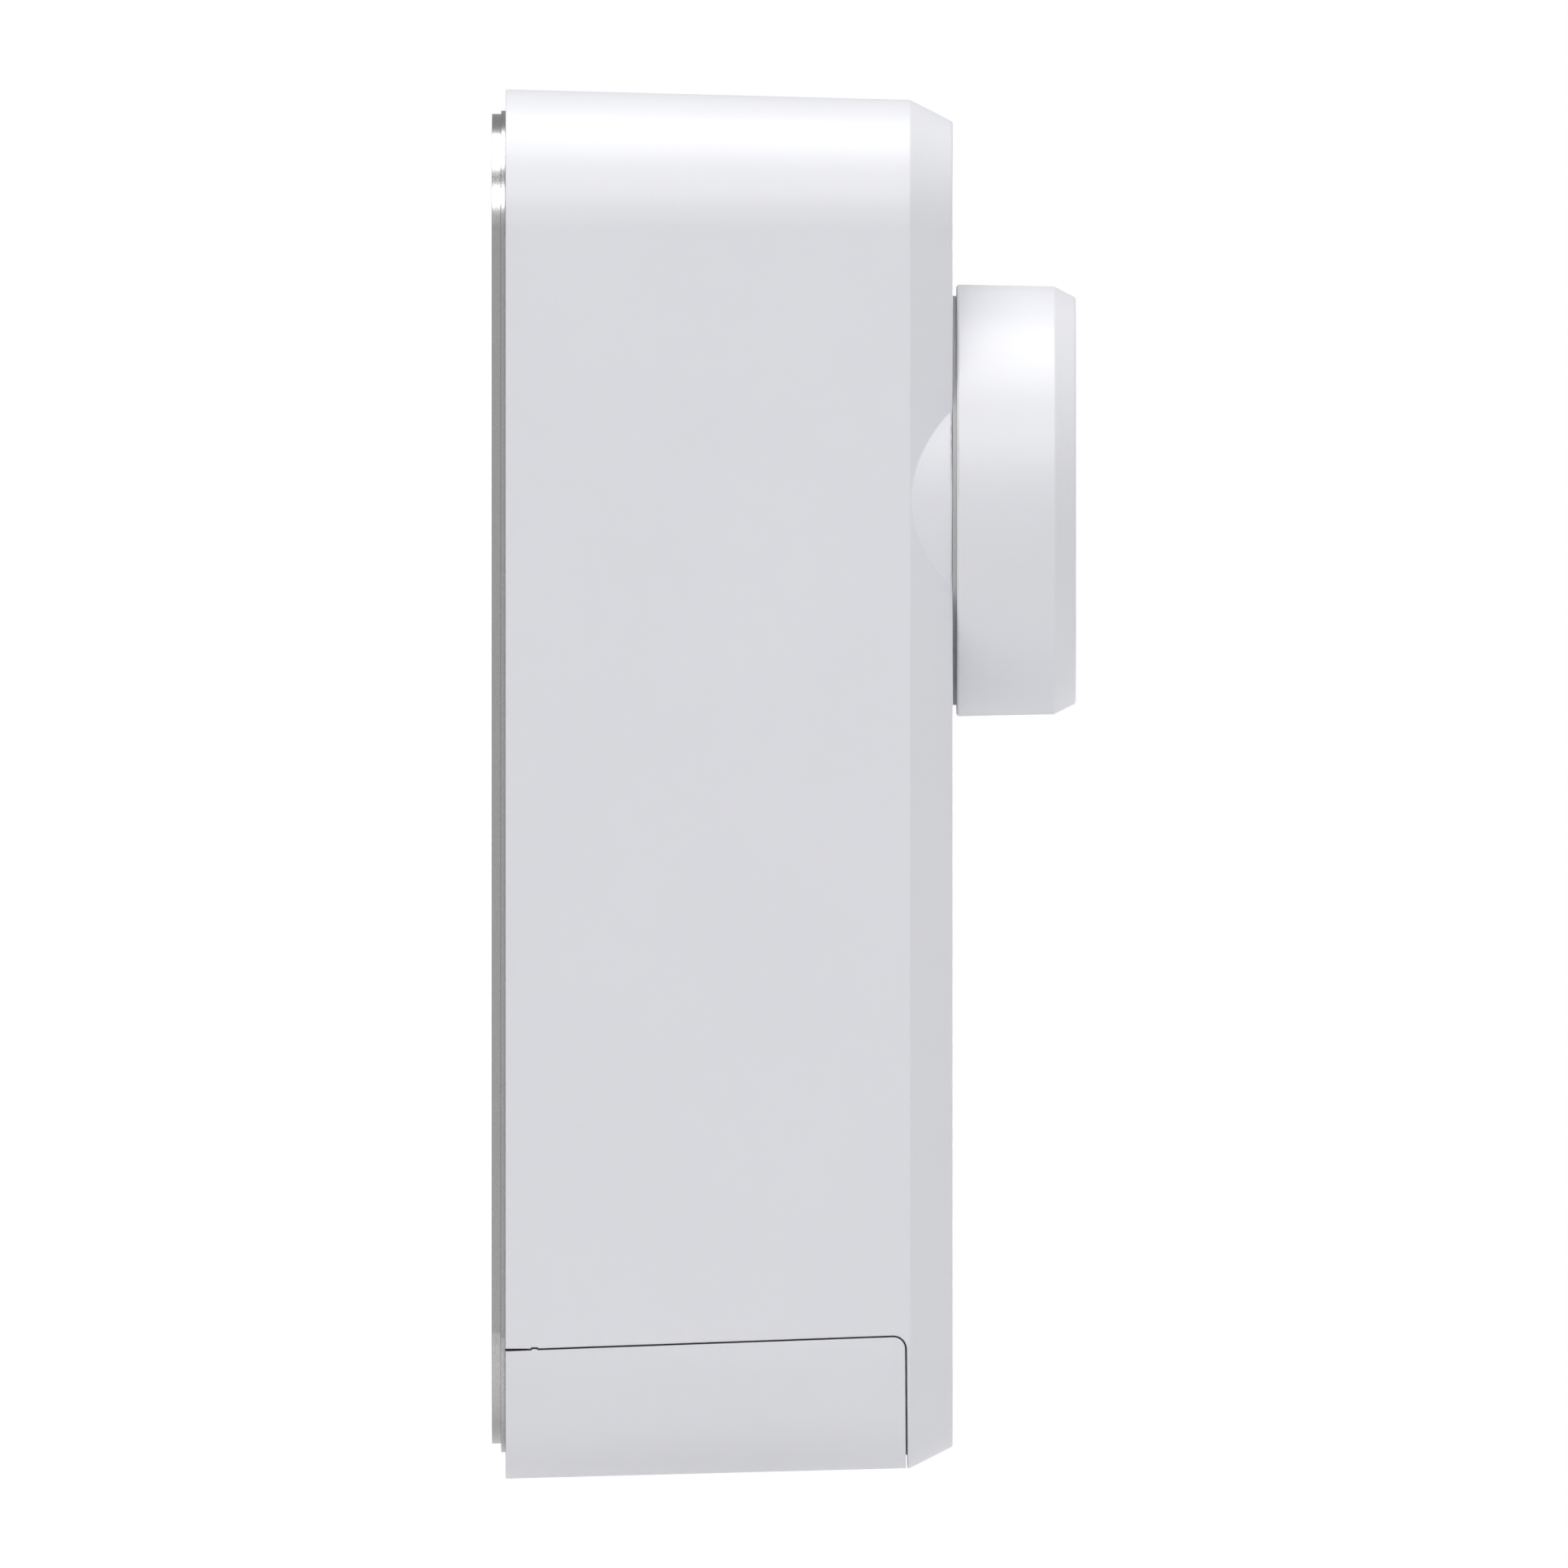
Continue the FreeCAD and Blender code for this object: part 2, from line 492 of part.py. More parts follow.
def window(side, half_width, extra="0"):
    """The clear space that a wall screw's head needs, at rest and as the unit is lifted off."""
    middle = f"{side}wall_screw_height"
    return centred(half_width, f"{middle} - window_below - ({extra})", f"{middle} + window_above + ({extra})")


def make_rear_plate():
    body = new_body("rear_plate")
    outline = centred("rear_half_width", "rear_bottom", "rear_top", "rear_corner")
    pad(body, [outline], "plate_front", "unit_back")
    slots = [hook_slot(side, hook, "slot_half_width", "slot_tall")
             for side in SIDES for hook in ("hook_upper", "hook_lower")]
    opening = centred("opening_half_width", "opening_low", "opening_high", "opening_round")
    windows = [window(side, "head_window") for side in SIDES]
    screws = [(*place, "screw_head_hole") for place in REAR_SCREWS]
    notch = centred("notch_half_width", "-far_out", "lock_notch_high")
    pocket(body, [*slots, opening, *windows, *screws, notch], "plate_front", "unit_back")


def make_back_cover():
    body = new_body("back_cover")

    def outline(inset):
        return centred(f"back_half_width - ({inset})", f"-(back_half_height - ({inset}))",
                       f"back_half_height - ({inset})", f"back_corner - ({inset})")

    pad(body, [outline("0")], "unit_back", "seal_back")
    pad(body, [outline("seal_inset")], "seal_back", "seal_front")
    pad(body, [outline("0")], "seal_front", "back_front")
    for side in SIDES:
        pad(body, [window(side, "head_window + window_wall", "window_wall")], "back_front",
            "window_boss_front")
    recess = centred("recess_half_width", "recess_low", "recess_high")
    recess_boss = centred("recess_half_width + recess_wall", "recess_low - recess_wall",
                          "recess_high + recess_wall")
    pad(body, [recess_boss], "back_front", "recess_boss_front")
    pockets = [hook_slot(side, f"{hook} + hook_lip + hook_pocket_side", "slot_half_width + hook_pocket_side",
                         "hook_pocket_tall")
               for side in SIDES for hook in ("hook_upper", "hook_lower")]
    pocket(body, pockets, "unit_back", "hook_pocket_front")
    pocket(body, [window(side, "head_window") for side in SIDES], "unit_back", "window_front")
    pocket(body, [recess], "unit_back", "recess_front")
    pocket(body, [centred("notch_half_width", "-far_out", "lock_notch_high")], "unit_back", "back_front")
    pocket(body, [(*place, "screw_pass") for place in REAR_SCREWS], "unit_back", "back_front")
    pocket(body, [(*place, "screw_head_hole") for place in REAR_SCREWS], "unit_back", "rear_head_floor")

    seal = new_body("back_seal")
    pad(seal, [outline("0"), outline("seal_inset - seal_slack")], "seal_back + seal_slack",
        "seal_front - seal_slack")


def make_rear_screws():
    screws = []
    for across, up in REAR_SCREWS:
        head = cone_out(across, up, "screw_head", "screw_pilot", "rear_head_back", "rear_head_front")
        shank = rod_out(across, up, "screw_shank", "rear_head_back", "rear_shank_front")
        screws.append(fused(head, shank))
    node(group(*screws), "rear_screws")


def make_terminals():
    body = new_body("terminal_block")
    pad(body, [centred("block_half_width", "block_low", "block_high")], "block_back", "block_front")
    wells = [(f"{side}terminal_across", "terminal_height", "terminal_well") for side in SIDES]
    bores = [(f"{side}terminal_across", "terminal_height", "terminal_shank + seal_slack") for side in SIDES]
    pocket(body, wells, "block_back", "terminal_floor")
    pocket(body, bores, "block_back", "terminal_end + seal_slack")
    wires = [(f"{side}terminal_across", "-wire_hole_depth", "wire_hole") for side in SIDES]
    pocket_down(body, wires, "block_low", "wire_hole_high")
    screws = []
    for side in SIDES:
        across = f"{side}terminal_across"
        head = rod_out(across, "terminal_height", "terminal_head", "terminal_back", "terminal_floor")
        shank = rod_out(across, "terminal_height", "terminal_shank", "terminal_floor", "terminal_end")
        slot = box(f"{across} - terminal_head", f"{across} + terminal_head", "terminal_back",
                   "terminal_back + tab_thick", "terminal_height - tab_thick / 2",
                   "terminal_height + tab_thick / 2")
        screws.append(cut(fused(head, shank), slot))
    node(group(*screws), "terminal_screws")


# ---------------------------------------------------------------- housing and bearing

def make_front_housing():
    body = new_body("front_housing")
    loft(body, "AdditiveLoft", [("unit_back", "0"), ("unit_bevel", "draft_inset"),
                                ("unit_front", "draft_inset + bevel_inset")])
    pad(body, [("0", "head_height", "boss_radius")], "boss_back", "unit_front")
    doc.recompute()
    face, solid = -number_of("unit_front"), body.Tip
    rims = [f"Edge{index}" for index, edge in enumerate(solid.Shape.Edges, start=1)
            if abs(edge.BoundBox.YMin - face) < 1e-4 and abs(edge.BoundBox.YMax - face) < 1e-4]
    rounding = body.newObject("PartDesign::Fillet", "Fillet")
    rounding.Base = (solid, rims)
    bind(rounding, Radius="edge_round")
    loft(body, "SubtractiveLoft", [("unit_back", "wall"), ("unit_bevel", "wall + draft_inset"),
                                   ("unit_front - front_wall", "wall + draft_inset + inner_bevel_inset")])
    bearing = ("0", "head_height", "bearing_boss")
    posts = [(*place, "board_post") for place in BOARD_POSTS]
    pad(body, [bearing], "bearing_back", "unit_front - front_wall / 2")
    pad(body, posts, "board_front", "unit_front - front_wall / 2")
    for across, up in REAR_SCREWS:
        pad(body, [(across, up, "post_radius")], "post_back", "post_front")
        inner, outer = (across, "rib_end") if not across.startswith("-") else ("-rib_end", across)
        pad(body, [block(inner, outer, f"{up} - rib_half", f"{up} + rib_half")], "post_back", "post_front")
    pocket_across(body, [
        ("-far_out", "housing_seam_back"), ("notch_back", "notch_foot_back"), ("notch_back", "notch_top"),
        ("notch_front", "notch_top"), ("notch_front", "notch_foot_front"),
        ("housing_slit", "housing_seam_front", "housing_seam_round"),
        ("housing_slit + slit_lean", "-far_out"), ("-far_out", "-far_out")])
    pocket(body, [("0", "head_height", "bore")], "bearing_back", "unit_front")
    pocket(body, [("0", "head_height", "ring_seat_outer"), ("0", "head_height", "ring_seat_inner")],
           "ring_seat", "unit_front")
    sweep = turned(body, "head_height", [
        ("stop_floor", "stop_inner"), ("unit_front + wall", "stop_inner"),
        ("unit_front + wall", "stop_outer"), ("stop_floor", "stop_outer")], "Groove")
    sweep.Midplane = True
    bind(sweep, Angle="stop_sweep")
    slots = []
    for index in range(-SIDE_SLOTS, SIDE_SLOTS + 1):
        middle = f"{index} * speaker_pitch"
        slots.append(block(f"{middle} - speaker_slot", f"{middle} + speaker_slot",
                           "speaker_height - speaker_slot_half", "speaker_height + speaker_slot_half",
                           "speaker_slot - round_gap"))
    pocket(body, [("0", "call_height", "call_opening"), ("0", "pir_height", "pir_opening"),
                  ("0", "mic_height", "mic_hole"), *slots], "unit_front - front_wall - wall", "unit_front")
    pocket(body, [(*place, "screw_pilot") for place in BOARD_POSTS], "board_front", "board_pilot_front")
    pocket(body, [(*place, "screw_pilot") for place in REAR_SCREWS], "post_back",
           "rear_shank_front + wall / 4")


def make_bearing():
    ring = new_body("head_bearing_ring")
    turned(ring, "head_height", [
        ("ring_back", "ring_tongue_inner"), ("ring_back", "ring_tongue_outer"),
        ("unit_front", "ring_tongue_outer"), ("unit_front", "neck_radius"),
        ("neck_front", "neck_radius"), ("neck_front", "neck_inner"), ("unit_front", "neck_inner"),
        ("unit_front", "ring_tongue_inner")])
    washer = new_body("thrust_washer")
    pad(washer, [("0", "head_height", "washer_outer"), ("0", "head_height", "washer_inner")],
        "washer_back", "washer_front")
    clip = new_body("circlip")
    pad(clip, [("0", "head_height", "clip_outer"), ("0", "head_height", "clip_inner")],
        "clip_back", "clip_front")
    pocket(clip, [centred("clip_gap", "head_height - clip_outer - wall", "head_height - clip_inner / 2")],
           "clip_back", "clip_front")
    ring = doc.addObject("Part::Torus", "ring")
    ring.Placement.Rotation = Rotation(Vector(1, 0, 0), 90)
    bind(ring, Radius1="o_ring_radius", Radius2="o_ring_section", Placement__Base__z="head_height",
         Placement__Base__y="-(o_groove_back + o_groove_front) / 2")
    node(ring, "hub_o_ring")


# ---------------------------------------------------------------- head

def make_head_shell():
    body = new_body("head_shell")
    turned(body, "head_height", [
        ("rim_back", "rim_inner"), ("rim_back", "rim_radius", "head_round"),
        ("head_bevel", "head_bevel_radius", "head_round"), ("head_front", "head_front_radius", "head_round"),
        ("head_front", "glass_seat"), ("glass_seat_depth", "glass_seat"), ("glass_seat_depth", "throat"),
        ("throat_back", "throat"), ("head_inner_front", "head_inner"), ("base_seat", "head_inner"),
        ("base_seat", "rim_inner")])
    pad(body, [(*place, "head_post") for place in HEAD_SCREWS], "base_seat", "head_post_front")
    pocket(body, [(*place, "screw_pilot") for place in HEAD_SCREWS], "base_seat", "head_pilot_front")


def make_head_base():
    body = new_body("head_base")
    turned(body, "head_height", [
        ("hub_back", "hub_inner"), ("hub_back", "hub_outer"), ("clip_groove_back", "hub_outer"),
        ("clip_groove_back", "clip_groove"), ("clip_groove_front", "clip_groove"),
        ("clip_groove_front", "hub_outer"), ("o_groove_back", "hub_outer"), ("o_groove_back", "o_groove"),
        ("o_groove_front", "o_groove"), ("o_groove_front", "hub_outer"), ("base_back", "hub_outer"),
        ("base_back", "base_radius"), ("base_front", "base_radius"), ("base_front", "hub_inner")])
    pad(body, [("0", "head_height + stop_radius", "stop_pin")], "stop_pin_back", "base_back + wall / 2")
    pocket(body, [(*place, "screw_pass") for place in HEAD_SCREWS], "base_back", "base_front")
    pocket(body, [(*place, "head_screw_counter_radius") for place in HEAD_SCREWS], "base_back",
           "head_screw_counter")


def make_head_screws():
    screws = []
    for across, up in HEAD_SCREWS:
        head = rod_out(across, up, "screw_head", "head_screw_back", "head_screw_seat")
        shank = rod_out(across, up, "screw_shank", "head_screw_seat", "head_screw_front")
        screws.append(fused(head, shank))
    node(group(*screws), "head_screws")


def make_window():
    glass = new_body("head_glass")
    turned(glass, "head_height", [
        ("glass_back", "0"), ("glass_back", "glass_radius"), ("glass_bevel", "glass_radius"),
        ("glass_front", "glass_bevel_radius"), ("glass_front", "0")])
    seal = new_body("glass_seal")
    pad(seal, [("0", "head_height", "glass_radius"), ("0", "head_height", "seal_inner")],
        "glass_seat_depth", "glass_seal_front")
    mask = new_body("window_mask")
    pad(mask, [("0", "head_height", "mask_radius"), ("0", "head_height", "lens_window")],
        "mask_back", "mask_front")
    pocket(mask, [(*place, "led_window") for place in LED_PLACES], "mask_back", "mask_front")


def make_camera():
    plate = rod_out("0", "head_height", "bracket_radius", "bracket_back", "bracket_front")
    tube = canted_rod("tube_outer", "tube_start", "tube_end")
    bore = canted_rod("tube_bore", "bore_start", "barrel_end")
    node(cut(fused(plate, tube), bore), "camera_bracket")
    barrel = canted_rod("barrel_radius", "barrel_start", "barrel_end")
    mouth = canted_rod("barrel_mouth", "mouth_start", "barrel_end")
    node(cut(barrel, mouth), "lens_barrel")
    stub = canted_rod("lens_radius", "lens_start", "lens_end")
    ball = canted(bind(doc.addObject("Part::Sphere", "ball"), Radius="lens_sphere"), "lens_end - lens_sphere")
    dome = doc.addObject("Part::Common", "dome")
    dome.Base = stub
    dome.Tool = ball
    node(dome, "lens_glass")
    board = doc.addObject("Part::Box", "board")
    bind(board, Length="2 * sensor_half", Width="2 * sensor_half", Height="sensor_end - sensor_start")
    canted(board, "sensor_start", "-sensor_half")
    # the square is centred on the tilted line, so it starts half its side up from it
    bind(board,
         Placement__Base__y="-(lens_pivot + sensor_start * cos(lens_cant)) + sensor_half * sin(lens_cant)",
         Placement__Base__z="head_height - sensor_start * sin(lens_cant) - sensor_half * cos(lens_cant)")
    node(board, "sensor_board")
    ring = new_body("ir_board")
    pad(ring, [("0", "head_height", "ir_outer"), ("0", "head_height", "ir_inner")], "ir_back", "led_back")
    leds = []
    for across, up in LED_PLACES:
        leds.append(cone_out(across, up, "led_radius", "led_tip", "led_back", "led_front"))
    node(group(*leds), "ir_leds")
    ribbon = box("-ribbon_half", "ribbon_half", "ribbon_back", "ribbon_front", "head_height",
                 "head_height + ribbon_thick")
    node(ribbon, "camera_ribbon")


# ---------------------------------------------------------------- face below the head

def make_call_button():
    button = new_body("call_button")
    turned(button, "call_height", [
        ("call_stem_back", "0"), ("call_stem_back", "call_stem"), ("call_flange_back", "call_stem"),
        ("call_flange_back", "call_flange"), ("call_flange_front", "call_flange"),
        ("call_flange_front", "call_radius"), ("call_front", "call_radius", "edge_round"),
        ("call_front", "dish_edge"), ("call_dish", "dish_flat"), ("call_dish", "0")])
    light = new_body("light_ring")
    turned(light, "call_height", [
        ("light_back", "light_inner"), ("light_back", "light_flange"), ("inner_face", "light_flange"),
        ("inner_face", "light_outer"), ("light_front", "light_outer", "edge_round"),
        ("light_front", "light_inner", "edge_round")])
    switch = new_body("button_switch")
    pad(switch, [centred("switch_half", "call_height - switch_half", "call_height + switch_half")],
        "board_front", "switch_front")
    pocket(switch, [("0", "call_height", "switch_well")], "switch_floor", "switch_front")
    node(rod_out("0", "call_height", "plunger", "plunger_back", "plunger_front"), "switch_plunger")


def make_motion_sensor():
    lens = new_body("pir_lens")
    turned(lens, "pir_height", [
        ("pir_back", "pir_hollow"), ("pir_back", "pir_flange"), ("inner_face", "pir_flange"),
        ("inner_face", "pir_radius"), ("pir_edge", "pir_radius"), ("pir_front", "pir_hollow"),
        ("pir_front", "0"), ("pir_skin", "0"), ("pir_skin", "pir_hollow")])
    can = rod_out("0", "pir_height", "can_radius", "can_back", "can_front")
    flange = rod_out("0", "pir_height", "can_flange", "can_flange_back", "can_back")
    pins = [rod_out(across, up, "can_pin", "board_front", "can_flange_back")
            for across, up in around(*CAN_PIN_RING, "can_pin_circle", "pir_height")]
    node(fused(can, flange, *pins), "pir_sensor")


def make_speaker():
    frame = rod_out("0", "speaker_height", "speaker_radius", "speaker_back", "speaker_front")
    magnet = rod_out("0", "speaker_height", "magnet_radius", "magnet_back", "speaker_back")
    node(fused(frame, magnet), "speaker")
    gasket = new_body("speaker_gasket")
    pad(gasket, [("0", "speaker_height", "speaker_radius"), ("0", "speaker_height", "gasket_inner")],
        "speaker_front", "mesh_back")
    mesh = box("-mesh_half_width", "mesh_half_width", "mesh_back", "inner_face",
               "speaker_height - mesh_half_tall", "speaker_height + mesh_half_tall")
    node(mesh, "speaker_mesh")


def make_microphone():
    boot = new_body("mic_boot")
    pad(boot, [("0", "mic_height", "boot_radius"), ("0", "mic_height", "mic_hole")], "boot_back",
        "inner_face")
    chip = box("-mic_half_width", "mic_half_width", "board_front", "mic_front",
               "mic_height - mic_half_tall", "mic_height + mic_half_tall")
    node(chip, "microphone")


# ---------------------------------------------------------------- electronics and cells

def make_main_board():
    board = new_body("main_board")
    pad(board, [centred("board_half_width", "board_low", "board_high", "board_corner")], "board_back",
        "board_front")
    pocket(board, [(*place, "screw_pass") for place in BOARD_POSTS], "board_back", "board_front")
    screws = []
    for across, up in BOARD_POSTS:
        head = rod_out(across, up, "screw_head", "board_head_back", "board_head_front")
        shank = rod_out(across, up, "screw_shank", "board_head_front", "board_shank_front")
        screws.append(fused(head, shank))
    node(group(*screws), "board_screws")


def make_board_parts():
    shell = box("-shield_half_width", "shield_half_width", "shield_back", "board_back", "shield_low",
                "shield_high")
    hollow = box("-shield_half_width + shield_skin", "shield_half_width - shield_skin",
                 "shield_back + shield_skin", "board_back + wall", "shield_low + shield_skin",
                 "shield_high - shield_skin")
    node(cut(shell, hollow), "processor_shield")
    solids = [box(left, right, "board_front", f"board_front + {thick}", low, high)
              for left, right, low, high, thick in CHIPS]
    node(group(*solids), "board_chips")
    lights = [box(f"{across} - status_half", f"{across} + status_half", "board_front", "status_front",
                  f"{up} - status_half", f"{up} + status_half")
              for across, up in around(*STATUS_RING, "status_circle", "call_height")]
    node(group(*lights), "status_leds")
    antenna = box("-antenna_half_width", "antenna_half_width", "antenna_back", "antenna_front",
                  "antenna_low", "antenna_high")
    node(antenna, "wifi_antenna")


def make_cells():
    cells, tabs = [], []
    for side in SIDES:
        across = f"{side}cell_across"
        can = rod_up(across, "cell_depth", "cell_radius", "cell_low", "cell_high")
        cap = rod_up(across, "cell_depth", "cap_radius", "cell_high", "cap_high")
        cells.append(fused(can, cap))
        tabs.append(box(f"{across} - tab_plate", f"{across} + tab_plate", "tab_back", "tab_back + tab_strip",
                        "cap_high + tab_gap", "cap_high + tab_gap + tab_thick"))
    node(group(*cells), "batteries")
    link = box("-link_half_width", "link_half_width", "tab_back", "tab_back + tab_strip",
               "cell_low - tab_gap - tab_thick", "cell_low - tab_gap")
    node(group(link, *tabs), "battery_tabs")
    tray = box("-cradle_half_width", "cradle_half_width", "cradle_back", "cradle_front", "cradle_low",
               "cradle_high")
    bores = [rod_up(f"{side}cell_across", "cell_depth", "cradle_bore", "cradle_bore_low", "cradle_bore_high")
             for side in SIDES]
    node(cut(tray, *bores), "battery_cradle")


# ---------------------------------------------------------------- bottom bay

def make_bottom_cover():
    body = new_body("bottom_cover")
    loft(body, "AdditiveLoft", [("unit_back", "0"), ("unit_bevel", "draft_inset")])
    loft(body, "SubtractiveLoft", [("unit_back", "cover_wall"), ("unit_bevel", "cover_wall + draft_inset")])
    pocket_across(body, [
        ("-far_out", "cover_seam_back"), ("unit_back", "cover_seam_back"), ("nub_back", "nub_foot_back"),
        ("nub_back", "nub_top"), ("nub_front", "nub_top"), ("nub_front", "nub_foot_front"),
        ("cover_slit", "cover_seam_front", "cover_seam_round"), ("cover_slit + slit_lean", "-far_out"),
        ("far_out", "-far_out"), ("far_out", "far_out"), ("-far_out", "far_out")])
    centre = ("0", "-bay_depth")
    pad_up(body, [(*centre, "cover_boss")], "cover_boss_low", "cover_boss_high")
    pocket_down(body, [(*centre, "cover_pass")], "cover_boss_low", "cover_boss_high")
    pocket_down(body, [(*centre, "cover_counter")], "-far_out", "cover_counter_high")
    head = cone_up("0", "bay_depth", "cover_head", "cover_head_top", "cover_head_low", "cover_head_high")
    shank = rod_up("0", "bay_depth", "cover_shank", "cover_head_low", "cover_shank_high")
    socket = hexagon_up("0", "bay_depth", "cover_socket", "cover_head_low",
                        "cover_head_low + cover_socket_deep")
    node(cut(fused(head, shank), socket), "cover_screw")


def bay_outline(low):
    return [("-bay_half_width", low, "bay_corner"), ("bay_half_width", low, "bay_corner"),
            ("bay_half_width", "bay_high"), ("-bay_half_width", "bay_high")]


def make_bay_frame():
    body = new_body("bay_frame")
    # the deep foot ends just behind the slit, and the rest runs on inside the housing's front
    pad(body, [bay_outline("bay_foot")], "bay_back", "bay_front")
    pocket_across(body, [
        ("housing_slit - foot_gap", "housing_seam_front"),
        ("housing_slit + slit_lean - foot_gap", "-far_out"), ("far_out", "-far_out"),
        ("far_out", "housing_seam_front")])
    pad(body, [bay_outline("bay_low")], "bay_back", "bay_front")
    well = block("-well_half_width", "well_half_width", "-well_front", "-well_back")
    notch = block("-notch_half_width", "notch_half_width", "-(well_back + wall)", "0")
    shelf = block("-shelf_half_width", "shelf_half_width", "-shelf_front", "-shelf_back")
    pocket_down(body, [well], "-far_out", "web_low")
    pocket_down(body, [notch], "-far_out", "lock_notch_high")
    pocket_down(body, [shelf], "web_high", "bay_high + wall")
    pad_up(body, [("0", "-bay_depth", "bay_post")], "bay_post_low", "web_high")
    usb = block("bay_across - usb_half_width - usb_gap", "bay_across + usb_half_width + usb_gap",
                "-(bay_depth + usb_half_deep + usb_gap)", "-(bay_depth - usb_half_deep - usb_gap)")
    pocket_down(body,
                [("0", "-bay_depth", "bay_post_bore"), usb, ("-bay_across", "-bay_depth", "reset_hole")],
                "bay_post_low", "web_high")
    pocket_down(body, [("0", "-lock_depth", "lock_bore")], "web_low", "lock_bore_high")


def make_bay_parts():
    board = box("-bay_board_half", "bay_board_half", "bay_board_back", "bay_board_front", "bay_board_low",
                "bay_board_high")
    hole = rod_up("0", "bay_depth", "bay_board_hole", "bay_board_low", "bay_board_high")
    node(cut(board, hole), "bay_board")

    port = new_body("usb_port")

    def shell(inset):
        return block(f"bay_across - usb_half_width + ({inset})", f"bay_across + usb_half_width - ({inset})",
                     f"-(bay_depth + usb_half_deep - ({inset}))", f"-(bay_depth - usb_half_deep + ({inset}))",
                     f"usb_half_deep - ({inset}) - round_gap")

    tongue = block("bay_across - tongue_half_width", "bay_across + tongue_half_width",
                   "-(bay_depth + tongue_half)", "-(bay_depth - tongue_half)")
    pad_up(port, [shell("0")], "usb_low", "bay_board_low")
    pocket_down(port, [shell("usb_skin")], "usb_low", "usb_floor")
    pad_up(port, [tongue], "tongue_low", "bay_board_low")

    switch = box("-bay_across - reset_half", "-bay_across + reset_half", "bay_depth - reset_half",
                 "bay_depth + reset_half", "reset_switch_low", "bay_board_low")
    well = rod_up("-bay_across", "bay_depth", "reset_well", "reset_switch_low", "reset_well_high")
    node(cut(switch, well), "reset_switch")
    cap = rod_up("-bay_across", "bay_depth", "reset_radius", "reset_low", "reset_high")
    stem = rod_up("-bay_across", "bay_depth", "reset_stem", "reset_high", "reset_stem_high")
    node(fused(cap, stem), "reset_button")


for make in (make_mounting_plate, make_security_screw, make_rear_plate, make_back_cover, make_rear_screws,
             make_terminals, make_front_housing, make_bearing, make_head_shell, make_head_base,
             make_head_screws, make_window, make_camera, make_call_button, make_motion_sensor,
             make_speaker, make_microphone, make_main_board, make_board_parts, make_cells,
             make_bottom_cover, make_bay_frame, make_bay_parts):
    make()
doc.recompute()

for item in doc.Objects:
    if "Invalid" in item.State or "Error" in item.State:
        raise RuntimeError(f"{item.Label} ({item.TypeId}) failed: {item.State} {item.getStatusString()}")
for item in node_objects:
    if item.Shape.isNull() or not item.Shape.isValid() or not item.Shape.Solids:
        raise RuntimeError(f"{item.Label} has no valid solid")

os.makedirs("parts", exist_ok=True)
for item in node_objects:
    item.Shape.exportStep(f"parts/{item.Label}.step")
    print(item.Label, len(item.Shape.Solids), round(item.Shape.Volume, 2))
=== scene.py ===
"""Looks of the video doorbell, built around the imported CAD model. Metres, in the CAD model's frame:
X across the unit, -Y out from the wall, +Z up."""
import json
import math

import bmesh
import bpy
from mathutils import Matrix, Vector


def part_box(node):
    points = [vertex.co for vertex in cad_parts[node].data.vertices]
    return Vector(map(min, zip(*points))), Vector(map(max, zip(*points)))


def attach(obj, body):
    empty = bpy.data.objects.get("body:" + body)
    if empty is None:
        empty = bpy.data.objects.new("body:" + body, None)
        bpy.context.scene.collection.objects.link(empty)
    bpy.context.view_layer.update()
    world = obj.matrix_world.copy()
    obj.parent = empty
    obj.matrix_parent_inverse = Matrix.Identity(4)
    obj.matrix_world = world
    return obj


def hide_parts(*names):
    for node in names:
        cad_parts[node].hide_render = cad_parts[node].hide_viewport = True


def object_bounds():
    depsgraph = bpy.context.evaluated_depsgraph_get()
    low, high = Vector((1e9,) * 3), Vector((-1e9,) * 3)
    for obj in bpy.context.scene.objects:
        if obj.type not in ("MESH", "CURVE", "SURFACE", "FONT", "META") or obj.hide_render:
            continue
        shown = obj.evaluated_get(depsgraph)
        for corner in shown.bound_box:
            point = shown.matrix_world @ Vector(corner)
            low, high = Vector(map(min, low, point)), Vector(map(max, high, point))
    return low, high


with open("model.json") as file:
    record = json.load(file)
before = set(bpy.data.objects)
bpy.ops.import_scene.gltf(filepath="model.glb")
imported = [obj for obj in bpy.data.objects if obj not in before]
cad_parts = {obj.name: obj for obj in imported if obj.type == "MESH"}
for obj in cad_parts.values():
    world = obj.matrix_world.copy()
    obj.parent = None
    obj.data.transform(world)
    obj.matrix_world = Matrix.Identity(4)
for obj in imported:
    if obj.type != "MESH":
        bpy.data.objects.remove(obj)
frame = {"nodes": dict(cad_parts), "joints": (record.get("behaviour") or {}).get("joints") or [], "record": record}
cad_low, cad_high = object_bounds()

MM = 0.001
NODES = frame["nodes"]
scene = bpy.context.scene


# ---------------------------------------------------------------- places read from the CAD model

def middle(node):
    low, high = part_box(node)
    return (Vector(low) + Vector(high)) / 2


def depth_of(node):
    """(nearest to the wall, furthest out) of a node, as distances from the wall."""
    low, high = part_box(node)
    return -high[1], -low[1]


HEAD = Vector(next(j["pos_m"] for j in frame["joints"] if j["name"] == "head_turn"))
LENS_CANT = math.radians(8)
LENS_PIVOT_DEPTH = 51 * MM
LENS_PIVOT = Vector((0, -LENS_PIVOT_DEPTH, HEAD.z))
LAMPS = 6
LAMP_CIRCLE = 11.6 * MM
MOTION_LENS_RINGS = 9
CONTACT_ROWS = 8
CONTACT_PITCH, CONTACT_WIDTH = 0.72, 0.36
CONTACT_FOOT, CONTACT_TOP = -58.75, -56.6
TONGUE_HALF = 0.35
THREAD_PITCH = 0.7


# ---------------------------------------------------------------- mesh helpers

